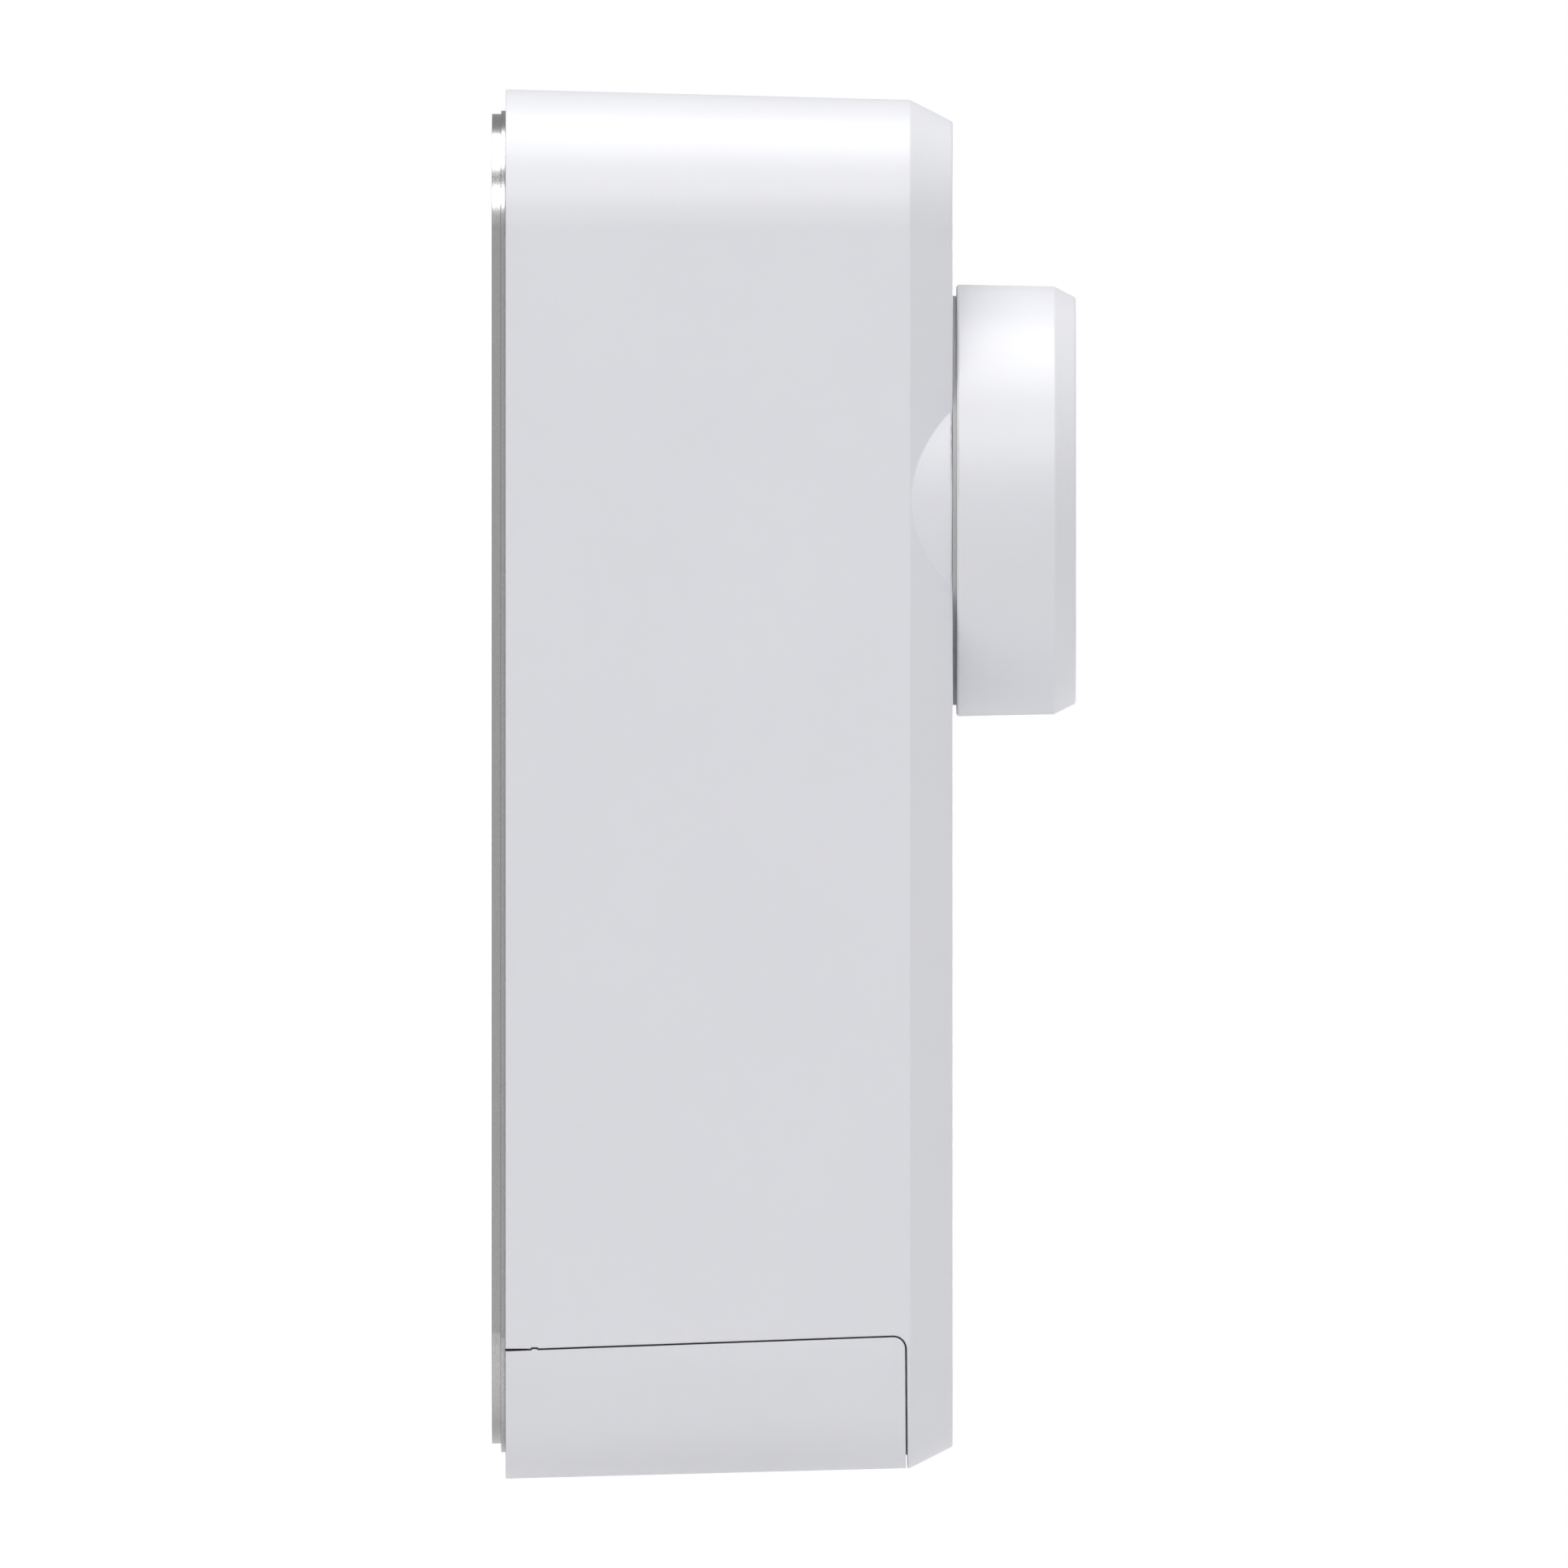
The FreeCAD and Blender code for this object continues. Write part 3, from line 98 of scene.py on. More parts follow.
def add_object(name, mesh, body, slot_name, *stands_for):
    """Links a piece, rides it on its body, and hides the CAD node it stands for. Its slot_name is not used."""
    piece = bpy.data.objects.new(name, mesh)
    scene.collection.objects.link(piece)
    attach(piece, body)
    if stands_for:
        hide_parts(*stands_for)
    return piece


def finish_mesh(bm, name, sharp_degrees=32):
    bmesh.ops.remove_doubles(bm, verts=bm.verts, dist=1e-7)
    bmesh.ops.recalc_face_normals(bm, faces=bm.faces)
    mesh = bpy.data.meshes.new(name)
    bm.to_mesh(mesh)
    bm.free()
    mesh.polygons.foreach_set("use_smooth", [True] * len(mesh.polygons))
    mesh.set_sharp_from_angle(angle=math.radians(sharp_degrees))
    return mesh


def rounded(points, radius, steps=4):
    """A profile with its inner corners rounded off by arcs of up to the radius."""
    out = [points[0]]
    for before, here, after in zip(points, points[1:], points[2:]):
        a, b, c = Vector(before), Vector(here), Vector(after)
        toward, onward = (a - b), (c - b)
        reach = min(radius, toward.length * 0.45, onward.length * 0.45)
        if reach < 1e-7:
            continue
        p, q = b + toward.normalized() * reach, b + onward.normalized() * reach
        for step in range(steps + 1):
            t = step / steps
            out.append(tuple(p * (1 - t) ** 2 + b * 2 * t * (1 - t) + q * t ** 2))
    out.append(points[-1])
    return out


def outward(centre):
    """Local Z runs out from the wall, from the wall face, through a place on the front."""
    return Matrix.Translation((centre.x, 0, centre.z)) @ Matrix.Rotation(math.radians(90), 4, "X")


def upright(centre):
    """Local Z is the height, over a place on the ground plan."""
    return Matrix.Translation((centre.x, centre.y, 0))


def tilted(pivot, angle):
    """Outward through the pivot, then leaning down about it."""
    lean = Matrix.Translation(pivot) @ Matrix.Rotation(angle, 4, "X") @ Matrix.Translation(-pivot)
    return lean @ outward(pivot)


def lathe_into(bm, profile, place, steps=128):
    """Turns (distance along, radius) points in mm about local Z. A radius can be a function of the angle."""
    rings = []
    for along, radius in profile:
        if radius == 0:
            rings.append([bm.verts.new(place @ Vector((0, 0, along * MM)))])
            continue
        ring = []
        for i in range(steps):
            turn = math.tau * i / steps
            reach = (radius(turn) if callable(radius) else radius) * MM
            point = Vector((reach * math.cos(turn), reach * math.sin(turn), along * MM))
            ring.append(bm.verts.new(place @ point))
        rings.append(ring)
    for inner, outer in zip(rings, rings[1:]):
        for i in range(steps):
            j = (i + 1) % steps
            corners = [inner[i % len(inner)], inner[j % len(inner)], outer[j % len(outer)],
                       outer[i % len(outer)]]
            unique = list(dict.fromkeys(corners))
            if len(unique) >= 3:
                bm.faces.new(unique)


def lathe(name, profile, places, body, slot_name, *stands_for, steps=128, sharp=32):
    """One turned shape, set down at each place."""
    bm = bmesh.new()
    for place in places:
        lathe_into(bm, profile, place, steps)
    return add_object(name, finish_mesh(bm, name, sharp), body, slot_name, *stands_for)


def dome(radius, edge, top, steps=10):
    """(depth, radius) points from the edge of a spherical crown to its middle."""
    rise = top - edge
    sphere = (radius ** 2 + rise ** 2) / (2 * rise)
    points = []
    for step in range(steps + 1):
        reach = radius * (1 - step / steps)
        points.append((top - sphere + math.sqrt(sphere ** 2 - reach ** 2), reach))
    points[-1] = (top, 0)
    return points


def tube_into(bm, points, radius, sides=6):
    """A round wire along points, closed at both ends."""
    angles = [math.tau * i / sides for i in range(sides)]
    corners = [Vector((radius * math.cos(angle), radius * math.sin(angle), 0)) for angle in angles]
    rings = []
    for index, point in enumerate(points):
        ahead = points[min(index + 1, len(points) - 1)] - points[max(index - 1, 0)]
        turn = ahead.to_track_quat("Z", "X").to_matrix()
        rings.append([bm.verts.new(point + turn @ corner) for corner in corners])
    for first, second in zip(rings, rings[1:]):
        for i in range(sides):
            j = (i + 1) % sides
            bm.faces.new((first[i], first[j], second[j], second[i]))
    bm.faces.new(reversed(rings[0]))
    bm.faces.new(rings[-1])


def block_into(bm, low, high):
    """A straight-sided block between two corners, in mm."""
    size = Vector(high) - Vector(low)
    centre = (Vector(high) + Vector(low)) / 2
    matrix = Matrix.Translation(centre * MM) @ Matrix.Diagonal((*(size * MM), 1))
    bmesh.ops.create_cube(bm, size=1, matrix=matrix)


# ---------------------------------------------------------------- materials

class Nodes:
    """A material's node tree, with short ways to add and join nodes."""

    def __init__(self, name):
        self.material = bpy.data.materials.new(name)
        self.material.use_nodes = True
        self.tree = self.material.node_tree
        self.shader = self.tree.nodes["Principled BSDF"]

    def add(self, kind, **settings):
        item = self.tree.nodes.new(kind)
        for key, value in settings.items():
            if hasattr(item, key):
                setattr(item, key, value)
            else:
                item.inputs[key.replace("_", " ")].default_value = value
        return item

    def join(self, source, target):
        self.tree.links.new(source, target)

    def place(self, scale=(1000, 1000, 1000)):
        """Object coordinates in millimetres, stretched by the scale."""
        coords = self.add("ShaderNodeTexCoord")
        mapping = self.add("ShaderNodeMapping")
        mapping.inputs["Scale"].default_value = scale
        self.join(coords.outputs["Object"], mapping.inputs["Vector"])
        return mapping.outputs["Vector"]

    def noise(self, scale, detail=3.0, roughness=0.5, stretch=(1000, 1000, 1000)):
        item = self.add("ShaderNodeTexNoise", Scale=scale, Detail=detail, Roughness=roughness)
        self.join(self.place(stretch), item.inputs["Vector"])
        return item.outputs["Fac"]

    def ramp(self, value, low, high, start=0.3, end=0.7):
        """Spreads a 0 to 1 value between two numbers."""
        item = self.add("ShaderNodeMapRange")
        for key, number in (("From Min", start), ("From Max", end), ("To Min", low), ("To Max", high)):
            item.inputs[key].default_value = number
        self.join(value, item.inputs["Value"])
        return item.outputs["Result"]

    def blend(self, value, first, second):
        item = self.add("ShaderNodeMix", data_type="RGBA")
        item.inputs[6].default_value = (*first, 1)
        item.inputs[7].default_value = (*second, 1)
        self.join(value, item.inputs[0])
        return item.outputs[2]

    def bump(self, value, height_mm, normal=None):
        item = self.add("ShaderNodeBump", Strength=1.0)
        item.inputs["Distance"].default_value = height_mm * MM
        self.join(value, item.inputs["Height"])
        if normal is not None:
            self.join(normal, item.inputs["Normal"])
        return item.outputs["Normal"]

    def soft_edges(self, radius_mm):
        item = self.add("ShaderNodeBevel", samples=6)
        item.inputs["Radius"].default_value = radius_mm * MM
        return item.outputs["Normal"]


def moulded(name, first, second, rough, grain_mm=0.12, grain_high=0.006, edge_mm=0.0, specular=0.5):
    """Moulded plastic: a spark-eroded grain, faint colour drift and a roughness that follows it."""
    n = Nodes(name)
    drift = n.noise(0.06, detail=2)
    n.join(n.blend(n.ramp(drift, 0, 1), first, second), n.shader.inputs["Base Color"])
    grain = n.noise(1 / grain_mm, detail=2, roughness=0.6)
    n.join(n.ramp(grain, rough - 0.05, rough + 0.07), n.shader.inputs["Roughness"])
    normal = n.soft_edges(edge_mm) if edge_mm else None
    n.join(n.bump(grain, grain_high, normal), n.shader.inputs["Normal"])
    n.shader.inputs["Specular IOR Level"].default_value = specular
    return n.material


def brushed(name, colour, rough, stretch, edge_mm=0.08, high=0.003):
    """Sheet metal with fine lines drawn along one axis and soft edges."""
    n = Nodes(name)
    lines = n.noise(1.0, detail=4, roughness=0.65, stretch=stretch)
    tint = [c * 0.82 for c in colour]
    n.join(n.blend(n.ramp(lines, 0, 1), colour, tint), n.shader.inputs["Base Color"])
    n.join(n.ramp(lines, rough - 0.08, rough + 0.1), n.shader.inputs["Roughness"])
    n.shader.inputs["Metallic"].default_value = 1.0
    n.join(n.bump(lines, high, n.soft_edges(edge_mm)), n.shader.inputs["Normal"])
    return n.material


def machined(name, colour, rough):
    """Turned or stamped small metal parts."""
    n = Nodes(name)
    marks = n.noise(6.0, detail=3)
    n.join(n.blend(n.ramp(marks, 0, 1), colour, [c * 0.8 for c in colour]), n.shader.inputs["Base Color"])
    n.join(n.ramp(marks, rough - 0.06, rough + 0.08), n.shader.inputs["Roughness"])
    n.shader.inputs["Metallic"].default_value = 1.0
    n.join(n.bump(marks, 0.002), n.shader.inputs["Normal"])
    return n.material


def smoked_glass():
    n = Nodes("smoked_glass")
    smear = n.noise(0.35, detail=4)
    n.join(n.blend(n.ramp(smear, 0, 1), (0.012, 0.013, 0.016), (0.02, 0.021, 0.024)),
           n.shader.inputs["Base Color"])
    n.join(n.ramp(smear, 0.03, 0.07), n.shader.inputs["Roughness"])
    n.shader.inputs["Alpha"].default_value = 0.24
    n.shader.inputs["IOR"].default_value = 1.52
    n.shader.inputs["Coat Weight"].default_value = 0.4
    return n.material


def coated_lens(name="coated_lens", alpha=1.0):
    n = Nodes(name)
    n.shader.inputs["Alpha"].default_value = alpha
    # The base colour turns purple toward grazing view: a painted coating reflection, on top of the real coat.
    facing = n.add("ShaderNodeLayerWeight", Blend=0.45)
    n.join(n.blend(facing.outputs["Facing"], (0.01, 0.012, 0.03), (0.09, 0.04, 0.2)),
           n.shader.inputs["Base Color"])
    smear = n.noise(1.2, detail=3)
    n.join(n.ramp(smear, 0.02, 0.05), n.shader.inputs["Roughness"])
    n.shader.inputs["Coat Weight"].default_value = 1.0
    n.shader.inputs["Coat Tint"].default_value = (0.75, 0.85, 1.0, 1)
    n.shader.inputs["Specular IOR Level"].default_value = 0.9
    return n.material


def milky(name, colour, glow=0.0):
    """Translucent light-pipe plastic, faintly cloudy."""
    n = Nodes(name)
    cloud = n.noise(0.5, detail=3)
    n.join(n.blend(n.ramp(cloud, 0, 1), colour, [c * 0.94 for c in colour]), n.shader.inputs["Base Color"])
    n.join(n.ramp(cloud, 0.18, 0.26), n.shader.inputs["Roughness"])
    n.shader.inputs["Subsurface Weight"].default_value = 0.35
    n.shader.inputs["Subsurface Scale"].default_value = 0.0015
    if glow:
        n.shader.inputs["Emission Color"].default_value = (0.75, 0.86, 1.0, 1)
        n.shader.inputs["Emission Strength"].default_value = glow
    return n.material


def circuit():
    """Solder-masked laminate with a faint grid of copper tracks under the mask."""
    n = Nodes("circuit_laminate")
    tracks = n.add("ShaderNodeTexBrick", Scale=0.35)
    n.join(n.place(), tracks.inputs["Vector"])
    tracks.inputs["Color1"].default_value = (0.008, 0.05, 0.03, 1)
    tracks.inputs["Color2"].default_value = (0.01, 0.07, 0.04, 1)
    tracks.inputs["Mortar"].default_value = (0.03, 0.14, 0.07, 1)
    n.join(tracks.outputs["Color"], n.shader.inputs["Base Color"])
    grain = n.noise(2.0)
    n.join(n.ramp(grain, 0.25, 0.4), n.shader.inputs["Roughness"])
    n.join(n.bump(tracks.outputs["Fac"], 0.01), n.shader.inputs["Normal"])
    return n.material


def floor_finish():
    n = Nodes("studio_floor")
    cloud = n.noise(0.01, detail=2)
    pale = n.blend(n.ramp(cloud, 0, 1), (0.89, 0.89, 0.89), (0.86, 0.86, 0.86))
    n.join(pale, n.shader.inputs["Base Color"])
    n.join(n.ramp(cloud, 0.75, 0.85), n.shader.inputs["Roughness"])
    return n.material


SHELL = moulded("shell_plastic", (0.762, 0.768, 0.812), (0.772, 0.778, 0.822), 0.38, edge_mm=0.22)
# The collar's grey, darker than the shell, is partly its own tone and partly painted shade of the narrow gap
# behind the head.
COLLAR = moulded("collar_plastic", (0.47, 0.47, 0.475), (0.5, 0.5, 0.505), 0.45, edge_mm=0.1)
DARK = moulded("dark_plastic", (0.022, 0.023, 0.026), (0.03, 0.031, 0.035), 0.5, edge_mm=0.1)
STEEL = brushed("brushed_steel", (0.56, 0.55, 0.555), 0.23, stretch=(14000, 14000, 500))
FASTENER = machined("fastener_steel", (0.56, 0.56, 0.57), 0.28)
BRASS = machined("brass", (0.78, 0.56, 0.25), 0.3)
BLACK_GLOSS = moulded("black_gloss", (0.012, 0.012, 0.014), (0.018, 0.018, 0.02), 0.16, grain_high=0.001)
BUTTON = moulded("button_plastic", (0.03, 0.031, 0.035), (0.038, 0.039, 0.044), 0.3, grain_high=0.002)
MILKY = milky("milky_plastic", (0.86, 0.88, 0.92), glow=0.12)
PIR = milky("lens_plastic", (0.8, 0.82, 0.85))
LENS_CLEAR = coated_lens("lens_front_coating", alpha=0.45)
EPOXY = moulded("lamp_epoxy", (0.05, 0.03, 0.05), (0.07, 0.04, 0.06), 0.1, grain_high=0.0005)
GOLD = machined("contact_gold", (0.85, 0.62, 0.26), 0.25)
RUBBER = moulded("seal_rubber", (0.025, 0.025, 0.026), (0.035, 0.035, 0.036), 0.75)
BEARING = moulded("bearing_plastic", (0.75, 0.73, 0.66), (0.7, 0.68, 0.62), 0.4)
GLASS = smoked_glass()
LENS = coated_lens()
BOARD = circuit()
CHIP = moulded("chip_epoxy", (0.02, 0.02, 0.022), (0.035, 0.035, 0.036), 0.55)
CAN = machined("bright_can", (0.8, 0.8, 0.81), 0.12)
WRAP = moulded("cell_wrap", (0.03, 0.12, 0.35), (0.04, 0.15, 0.42), 0.25)
MASK = moulded("mask_print", (0.006, 0.006, 0.007), (0.01, 0.01, 0.011), 0.6)

FINISHES = {
    "shell": SHELL, "steel": STEEL, "black_plastic": DARK, "button_plastic": BUTTON,
    "light_plastic": MILKY, "seal_rubber": RUBBER, "bearing_plastic": BEARING, "window_glass": GLASS,
    "brass": BRASS, "circuit_board": BOARD, "chip": CHIP, "sensor_can": CAN, "cell_wrap": WRAP,
    "collar_plastic": COLLAR,
}
# nodes whose finish differs from that of their slot
OWN_FINISH = {
    "window_mask": MASK, "rear_screws": FASTENER, "head_screws": FASTENER, "board_screws": FASTENER,
    "circlip": FASTENER, "usb_port": CAN, "processor_shield": CAN, "battery_tabs": CAN,
}


def dress(piece, material):
    piece.data.materials.clear()
    piece.data.materials.append(material)


def dress_nodes():
    for part in frame["record"]["subparts"]:
        name = part["node"]
        dress(NODES[name], OWN_FINISH.get(name, FINISHES[part["material_slot"]]))


dress_nodes()


# ---------------------------------------------------------------- call button, motion lens and speaker

def make_call_button():
    centre = middle("call_button")
    rim, dish = (45.3, 9.7), (45.02, 5.2)
    profile = [(41.0, 0), (41.0, 2.4), (41.9, 2.4), (41.9, 12.4), (42.7, 12.4), (42.7, 11.0)]
    profile += rounded([(42.8, 11.0), (45.3, 11.0), rim], 0.45, 8)
    for step in range(1, 12):
        t = step / 12
        smooth = t * t * (3 - 2 * t)
        profile.append((rim[0] + (dish[0] - rim[0]) * smooth, rim[1] + (dish[1] - rim[1]) * t))
    profile += [dish, (dish[0], 0)]
    cap = lathe("call_button_cap", profile, [outward(centre)], "button", "button_plastic", "call_button")
    dress(cap, BUTTON)
    inlay = rounded([(44.9, 3.75), (45.1, 3.75), (45.1, 4.35), (44.9, 4.35)], 0.08)
    ring = lathe("call_button_inlay", inlay + [inlay[0]], [outward(centre)], "button", "light_plastic")
    dress(ring, MILKY)


def make_motion_lens():
    """The motion sensor's lens: fine rings on a shallow crown, inside the outline of its CAD node."""
    centre = middle("pir_lens")
    profile = [(44.5, 0), (44.5, 3.4), (43.2, 3.4), (43.2, 5.4), (43.55, 5.4), (43.55, 4.42)]
    profile += rounded([(43.6, 4.42), (45.22, 4.42), (45.3, 4.1)], 0.12)
    widest = 4.05
    for ring in range(MOTION_LENS_RINGS, 0, -1):
        outer = widest * ring / MOTION_LENS_RINGS
        inner = outer - widest / MOTION_LENS_RINGS
        profile += [(45.24, outer), (45.38, outer - 0.05), (45.3, inner + 0.05)]
    profile += [(45.36, 0)]
    lens = lathe("motion_lens", profile, [outward(centre)], "unit", "light_plastic", "pir_lens", sharp=18)
    dress(lens, PIR)


def make_speaker_weave():
    """Woven wire cloth with a flat hem, behind the speaker slots."""
    low, high = (Vector(corner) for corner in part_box("speaker_mesh"))
    centre, half = (low + high) / 2, (high - low) / 2
    hem, pitch, wire, wave = 0.9 * MM, 0.34 * MM, 0.055 * MM, 0.06 * MM
    bm = bmesh.new()
    across, up = int((half.x - hem / 2) / pitch), int((half.z - hem / 2) / pitch)

    def knot(i, j, way):
        lift = wave if (i + j) % 2 else -wave
        return centre + Vector((i * pitch, lift * way, j * pitch))

    for j in range(-up, up + 1):
        tube_into(bm, [knot(i, j, 1) for i in range(-across, across + 1)], wire)
    for i in range(-across, across + 1):
        tube_into(bm, [knot(i, j, -1) for j in range(-up, up + 1)], wire)
    near, far = low.y / MM + 0.02, high.y / MM - 0.02
    left, right, bottom, top = low.x / MM, high.x / MM, low.z / MM, high.z / MM
    edge = hem / MM
    block_into(bm, (left, near, bottom), (right, far, bottom + edge))
    block_into(bm, (left, near, top - edge), (right, far, top))
    block_into(bm, (left, near, bottom + edge), (left + edge, far, top - edge))
    block_into(bm, (right - edge, near, bottom + edge), (right, far, top - edge))
    weave = add_object("speaker_weave", finish_mesh(bm, "speaker_weave", 40), "unit", "steel", "speaker_mesh")
    dress(weave, FASTENER)


# ---------------------------------------------------------------- camera behind the window

def make_lens():
    """Stepped barrel, iris and coated elements on the camera's line, which leans down from the pivot."""
    line = tilted(LENS_PIVOT, LENS_CANT)
    start = LENS_PIVOT_DEPTH / MM

    def along(points):
        return [(start + depth, radius) for depth, radius in points]

    outside = rounded([(-1.9, 0), (-1.9, 6.5), (3.9, 6.5), (3.9, 5.55)], 0.25)
    steps = [(3.6, 5.2), (1.7, 5.2), (1.7, 4.7), (1.2, 4.55), (1.2, 4.1), (0.7, 3.95), (0.7, 3.5),
             (0.2, 3.35), (0.2, 2.6), (-0.9, 2.45), (-0.9, 0)]
    tube = lathe("lens_tube", along(outside + steps), [line], "head", "black_plastic", "lens_barrel")
    dress(tube, BLACK_GLOSS)
    grip = rounded([(2.75, 6.4), (2.75, 6.75), (3.55, 6.75), (3.55, 6.4)], 0.12)
    ring = lathe("lens_trim_ring", along(grip + [grip[0]]), [line], "head", "black_plastic")
    dress(ring, DARK)
    front = [(1.72, 0), (1.72, 5.15)] + dome(5.15, 1.95, 3.7)
    lens = lathe("lens_element_front", along(front), [line], "head", "window_glass", "lens_glass")
    dress(lens, LENS_CLEAR)
    inner = [(-0.85, 0), (-0.85, 2.4)] + dome(2.4, -0.45, 0.1)
    back_lens = lathe("lens_element_inner", along(inner), [line], "head", "window_glass")
    dress(back_lens, LENS)


def make_infrared_lamps():
    """Six lamps in a ring: a flanged metal cup and a clear dome standing in each."""
    back, front = (depth / MM for depth in depth_of("ir_leds"))
    turns = [math.tau * lamp / LAMPS for lamp in range(LAMPS)]
    places = [outward(HEAD + LAMP_CIRCLE * Vector((math.cos(turn), 0, math.sin(turn)))) for turn in turns]
    cup = [(back, 0), (back, 1.4), (back + 0.5, 1.4), (back + 0.5, 1.2), (back + 0.15, 0.8), (back + 0.15, 0)]
    lamp = [(back + 0.17, 0), (back + 0.17, 0.75), (back + 0.52, 1.15)] + dome(1.15, back + 0.6, front, 8)
    cups = lathe("lamp_cups", cup, places, "head", "chip", "ir_leds", steps=32)
    dress(cups, CAN)
    domes = lathe("lamp_domes", lamp, places, "head", "chip", steps=32)
    dress(domes, EPOXY)


# ---------------------------------------------------------------- screws and contacts

def lobed(radius, depth=0.13):
    """Outline of a six-lobed driver socket."""
    return lambda turn: radius * (1 + depth * math.cos(6 * turn))


def threaded(low, high, core, crest, pitch):
    """Rings of a cut thread between two heights, faded out at both ends."""
    rings = []
    count = round((high - low) / pitch * 10)
    for index in range(count + 1):
        along = low + (high - low) * index / count
        fade = min(1, (along - low) / pitch, (high - along) / pitch)

        def reach(turn, along=along, fade=fade):
            wave = (along / pitch - turn / math.tau) % 1
            ridge = max(0, 1 - abs(wave - 0.5) * 3.2)
            return core + (crest - core) * ridge * fade
        rings.append((along, reach))
    return rings


def make_screw(name, node, body, head, head_top, core, crest, socket):
    """A screw driven from below: rounded head, six-lobed socket and a real thread."""
    low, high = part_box(node)
    foot, tip = low[2] / MM, high[2] / MM
    floor = foot + socket * 1.1
    profile = [(floor, 0), (floor, lobed(socket * 0.96)), (foot + 0.12, lobed(socket)),
               (foot, lobed(socket * 1.06))]
    profile += rounded([(foot, socket * 1.25), (foot, head), (head_top, head * 0.92)], 0.3, 6)
    thread = threaded(head_top + 0.4, tip - 0.5, core, crest, THREAD_PITCH)
    profile += [(head_top, core), *thread, (tip, core * 0.6), (tip, 0)]
    screw = lathe(name, profile, [upright(middle(node))], body, "steel", node, steps=72, sharp=25)
    dress(screw, FASTENER)


def make_port_contacts():
    """Gold contact strips on both faces of the charging port's tongue."""
    centre = middle("usb_port") / MM
    bm = bmesh.new()
    sunk, proud = 0.02, 0.03
    for row in range(CONTACT_ROWS):
        across = centre.x + (row - (CONTACT_ROWS - 1) / 2) * CONTACT_PITCH
        left, right = across - CONTACT_WIDTH / 2, across + CONTACT_WIDTH / 2
        for side in (-1, 1):
            face = centre.y + side * TONGUE_HALF
            near, far = sorted((face - side * sunk, face + side * proud))
            block_into(bm, (left, near, CONTACT_FOOT), (right, far, CONTACT_TOP))
    contacts = add_object("port_contacts", finish_mesh(bm, "port_contacts"), "unit", "brass")
    dress(contacts, GOLD)


make_call_button()
make_motion_lens()
make_speaker_weave()
make_lens()
make_infrared_lamps()
make_screw("cover_screw_body", "cover_screw", "cover", 2.6, -65.25, 1.0, 1.25, 1.0)
make_screw("security_screw_body", "security_screw", "wall_mount", 2.8, -58.8, 1.15, 1.5, 1.2)
make_port_contacts()


# ---------------------------------------------------------------- stage, light and camera

def add_area(name, place, size, power, colour):
    """A round soft light aimed at the middle of the unit's depth."""
    light = bpy.data.lights.new(name, "AREA")
    light.shape = "DISK"
    light.size = size
    light.energy = power
    light.color = colour
    lamp = bpy.data.objects.new(name, light)
    lamp.location = place
    lamp.rotation_euler = (LIGHT_TARGET - Vector(place)).to_track_quat("-Z", "Y").to_euler()
    scene.collection.objects.link(lamp)


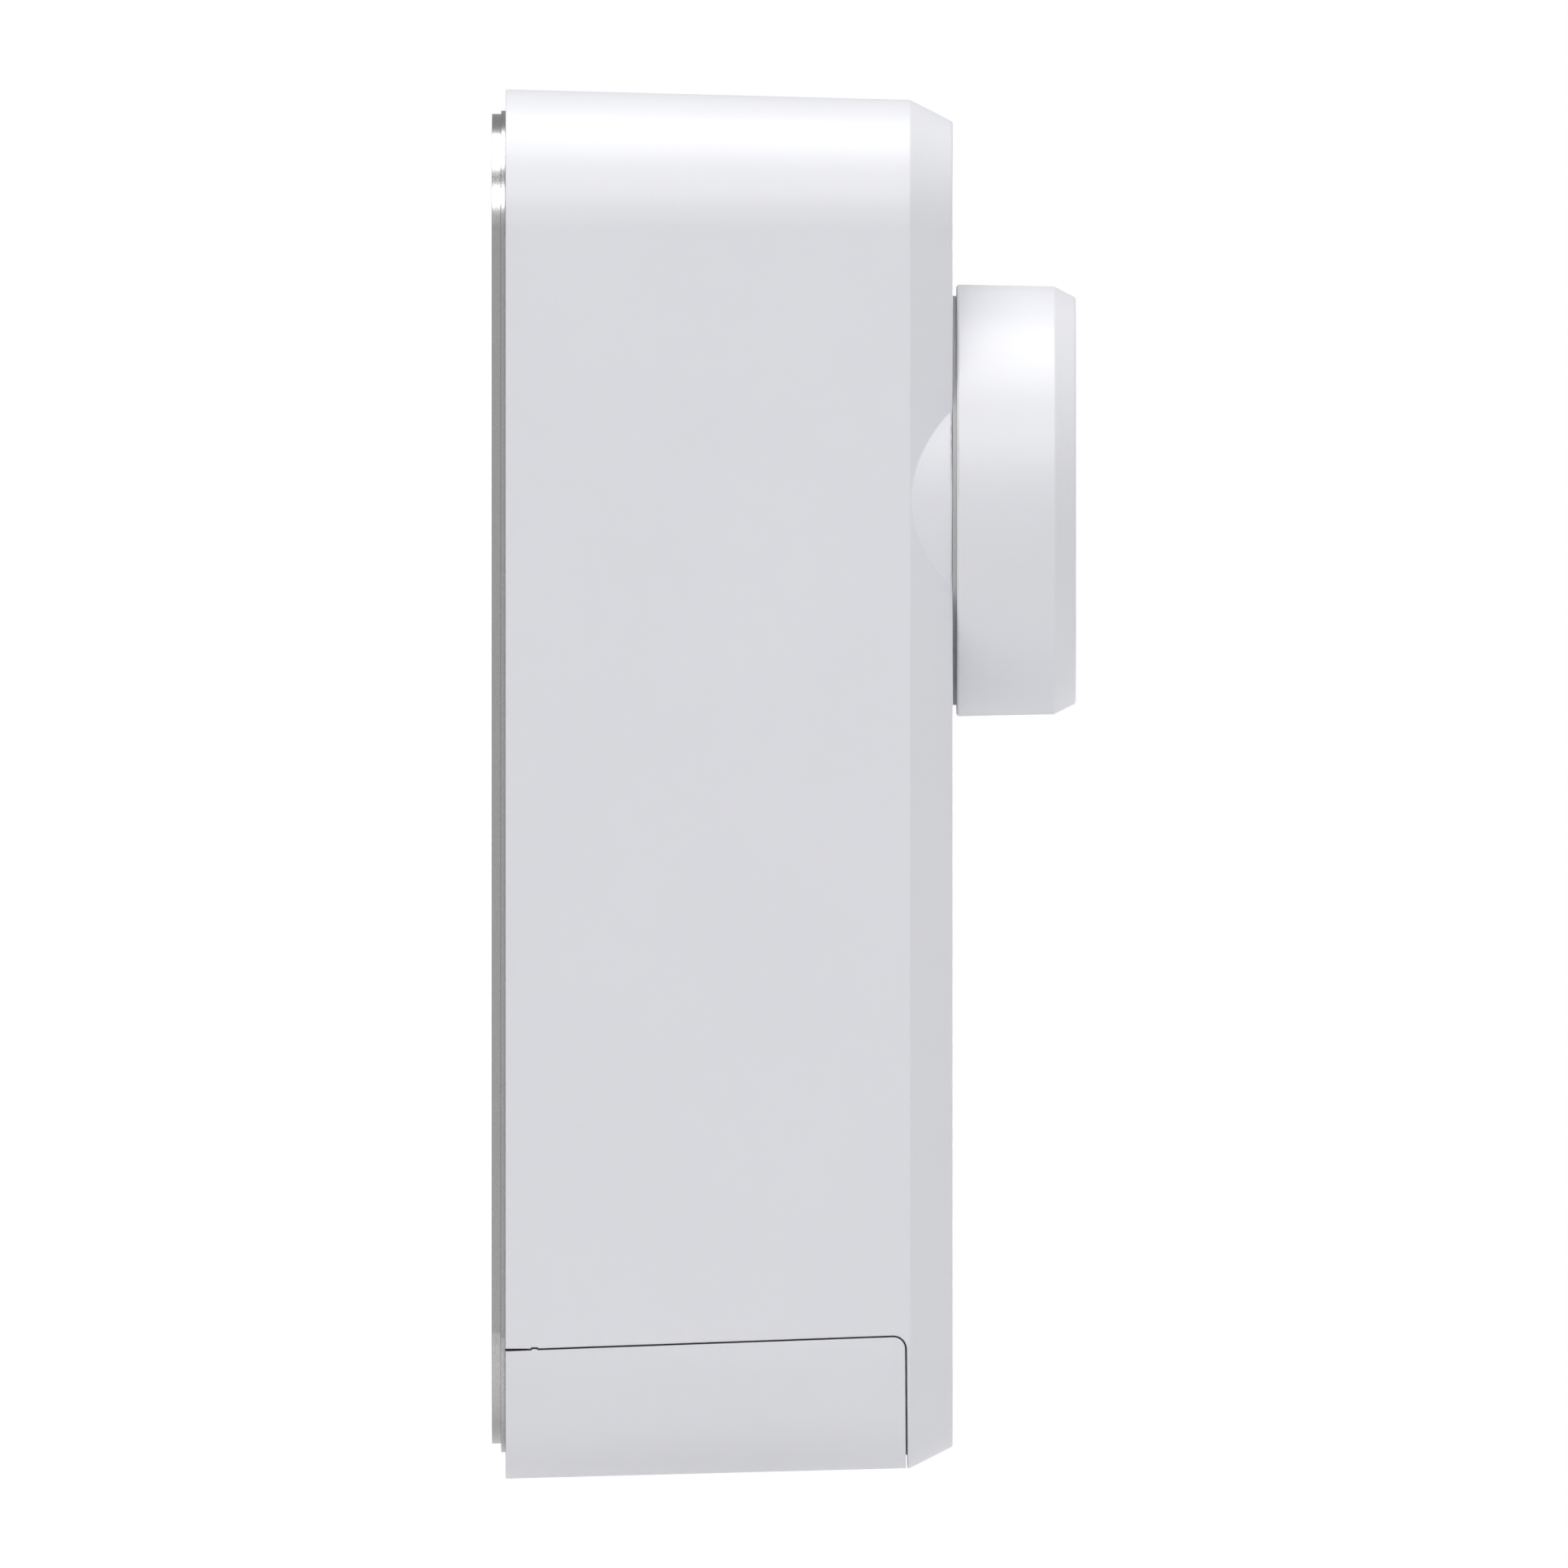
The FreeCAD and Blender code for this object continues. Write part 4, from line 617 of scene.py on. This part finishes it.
def make_world():
    world = bpy.data.worlds.new("studio")
    scene.world = world
    world.use_nodes = True
    tree = world.node_tree
    tree.nodes.clear()
    out = tree.nodes.new("ShaderNodeOutputWorld")
    mix = tree.nodes.new("ShaderNodeMixShader")
    path = tree.nodes.new("ShaderNodeLightPath")
    soft = tree.nodes.new("ShaderNodeBackground")
    backdrop = tree.nodes.new("ShaderNodeBackground")
    soft.inputs["Color"].default_value = (0.985, 0.99, 1.0, 1)
    backdrop.inputs["Color"].default_value = (1, 1, 1, 1)
    coords = tree.nodes.new("ShaderNodeTexCoord")
    parts = tree.nodes.new("ShaderNodeSeparateXYZ")
    tree.links.new(coords.outputs["Generated"], parts.inputs[0])

    def fading(axis, sign, gain):
        """Brightness that grows toward one direction and is nil on the other side."""
        steps = (("MULTIPLY", sign), ("MAXIMUM", 0), ("MULTIPLY", gain))
        value = parts.outputs[axis]
        for operation, number in steps:
            step = tree.nodes.new("ShaderNodeMath")
            step.operation = operation
            step.inputs[1].default_value = number
            tree.links.new(value, step.inputs[0])
            value = step.outputs[0]
        return value

    total = fading(*SKY[0])
    for side in SKY[1:]:
        add = tree.nodes.new("ShaderNodeMath")
        add.operation = "ADD"
        tree.links.new(total, add.inputs[0])
        tree.links.new(fading(*side), add.inputs[1])
        total = add.outputs[0]
    tree.links.new(total, soft.inputs["Strength"])
    tree.links.new(path.outputs["Is Camera Ray"], mix.inputs[0])
    tree.links.new(soft.outputs[0], mix.inputs[1])
    tree.links.new(backdrop.outputs[0], mix.inputs[2])
    tree.links.new(mix.outputs[0], out.inputs[0])


def make_floor():
    bm = bmesh.new()
    bmesh.ops.create_circle(bm, cap_ends=True, segments=96, radius=FLOOR_RADIUS)
    mesh = bpy.data.meshes.new("floor")
    bm.to_mesh(mesh)
    bm.free()
    floor = bpy.data.objects.new("floor", mesh)
    floor.location = (0, 0, cad_low[2] - FLOOR_DROP)
    scene.collection.objects.link(floor)
    dress(floor, floor_finish())


def make_camera():
    """A long lens square to the unit's left side, so that the view is the plain side elevation."""
    data = bpy.data.cameras.new("camera")
    data.sensor_width = SENSOR_WIDTH
    # the view is VIEW_WIDTH wide halfway between the unit's middle and its near side
    data.lens = data.sensor_width * (CAMERA_FAR + cad_low[0] / 2) / VIEW_WIDTH
    camera = bpy.data.objects.new("camera", data)
    depth = (cad_low[1] + cad_high[1]) / 2
    height = (cad_low[2] + cad_high[2]) / 2
    camera.location = (-CAMERA_FAR, depth, height)
    camera.rotation_euler = (math.radians(90), 0, math.radians(-90))
    scene.collection.objects.link(camera)
    scene.camera = camera


# soft light from around: which axis, which way along it, and how bright it is out there
SKY = (("Z", 1, 0.15), ("Y", 1, 0.35), ("X", -1, 0.56), ("X", 1, 0.35))
WARM, NEUTRAL = (1.0, 0.99, 0.97), (1.0, 1.0, 1.0)
LIGHT_TARGET = Vector((0, -0.03, 0))
# name, place, diameter, power and colour
LIGHTS = (
    ("top_light", (-0.1, -0.03, 0.95), 0.8, 6.8, WARM),
    ("side_light", (-0.78, -0.03, 0.49), 0.34, 1.35, WARM),
    ("front_light", (0.6, -0.85, 0.03), 0.5, 4.4, NEUTRAL),
)
FLOOR_RADIUS = 1.0
FLOOR_DROP = 0.036
SENSOR_WIDTH = 36
CAMERA_FAR = 6.0
VIEW_WIDTH = 0.15456

make_world()
make_floor()
make_camera()
for light in LIGHTS:
    add_area(*light)
scene.view_settings.view_transform = "Standard"
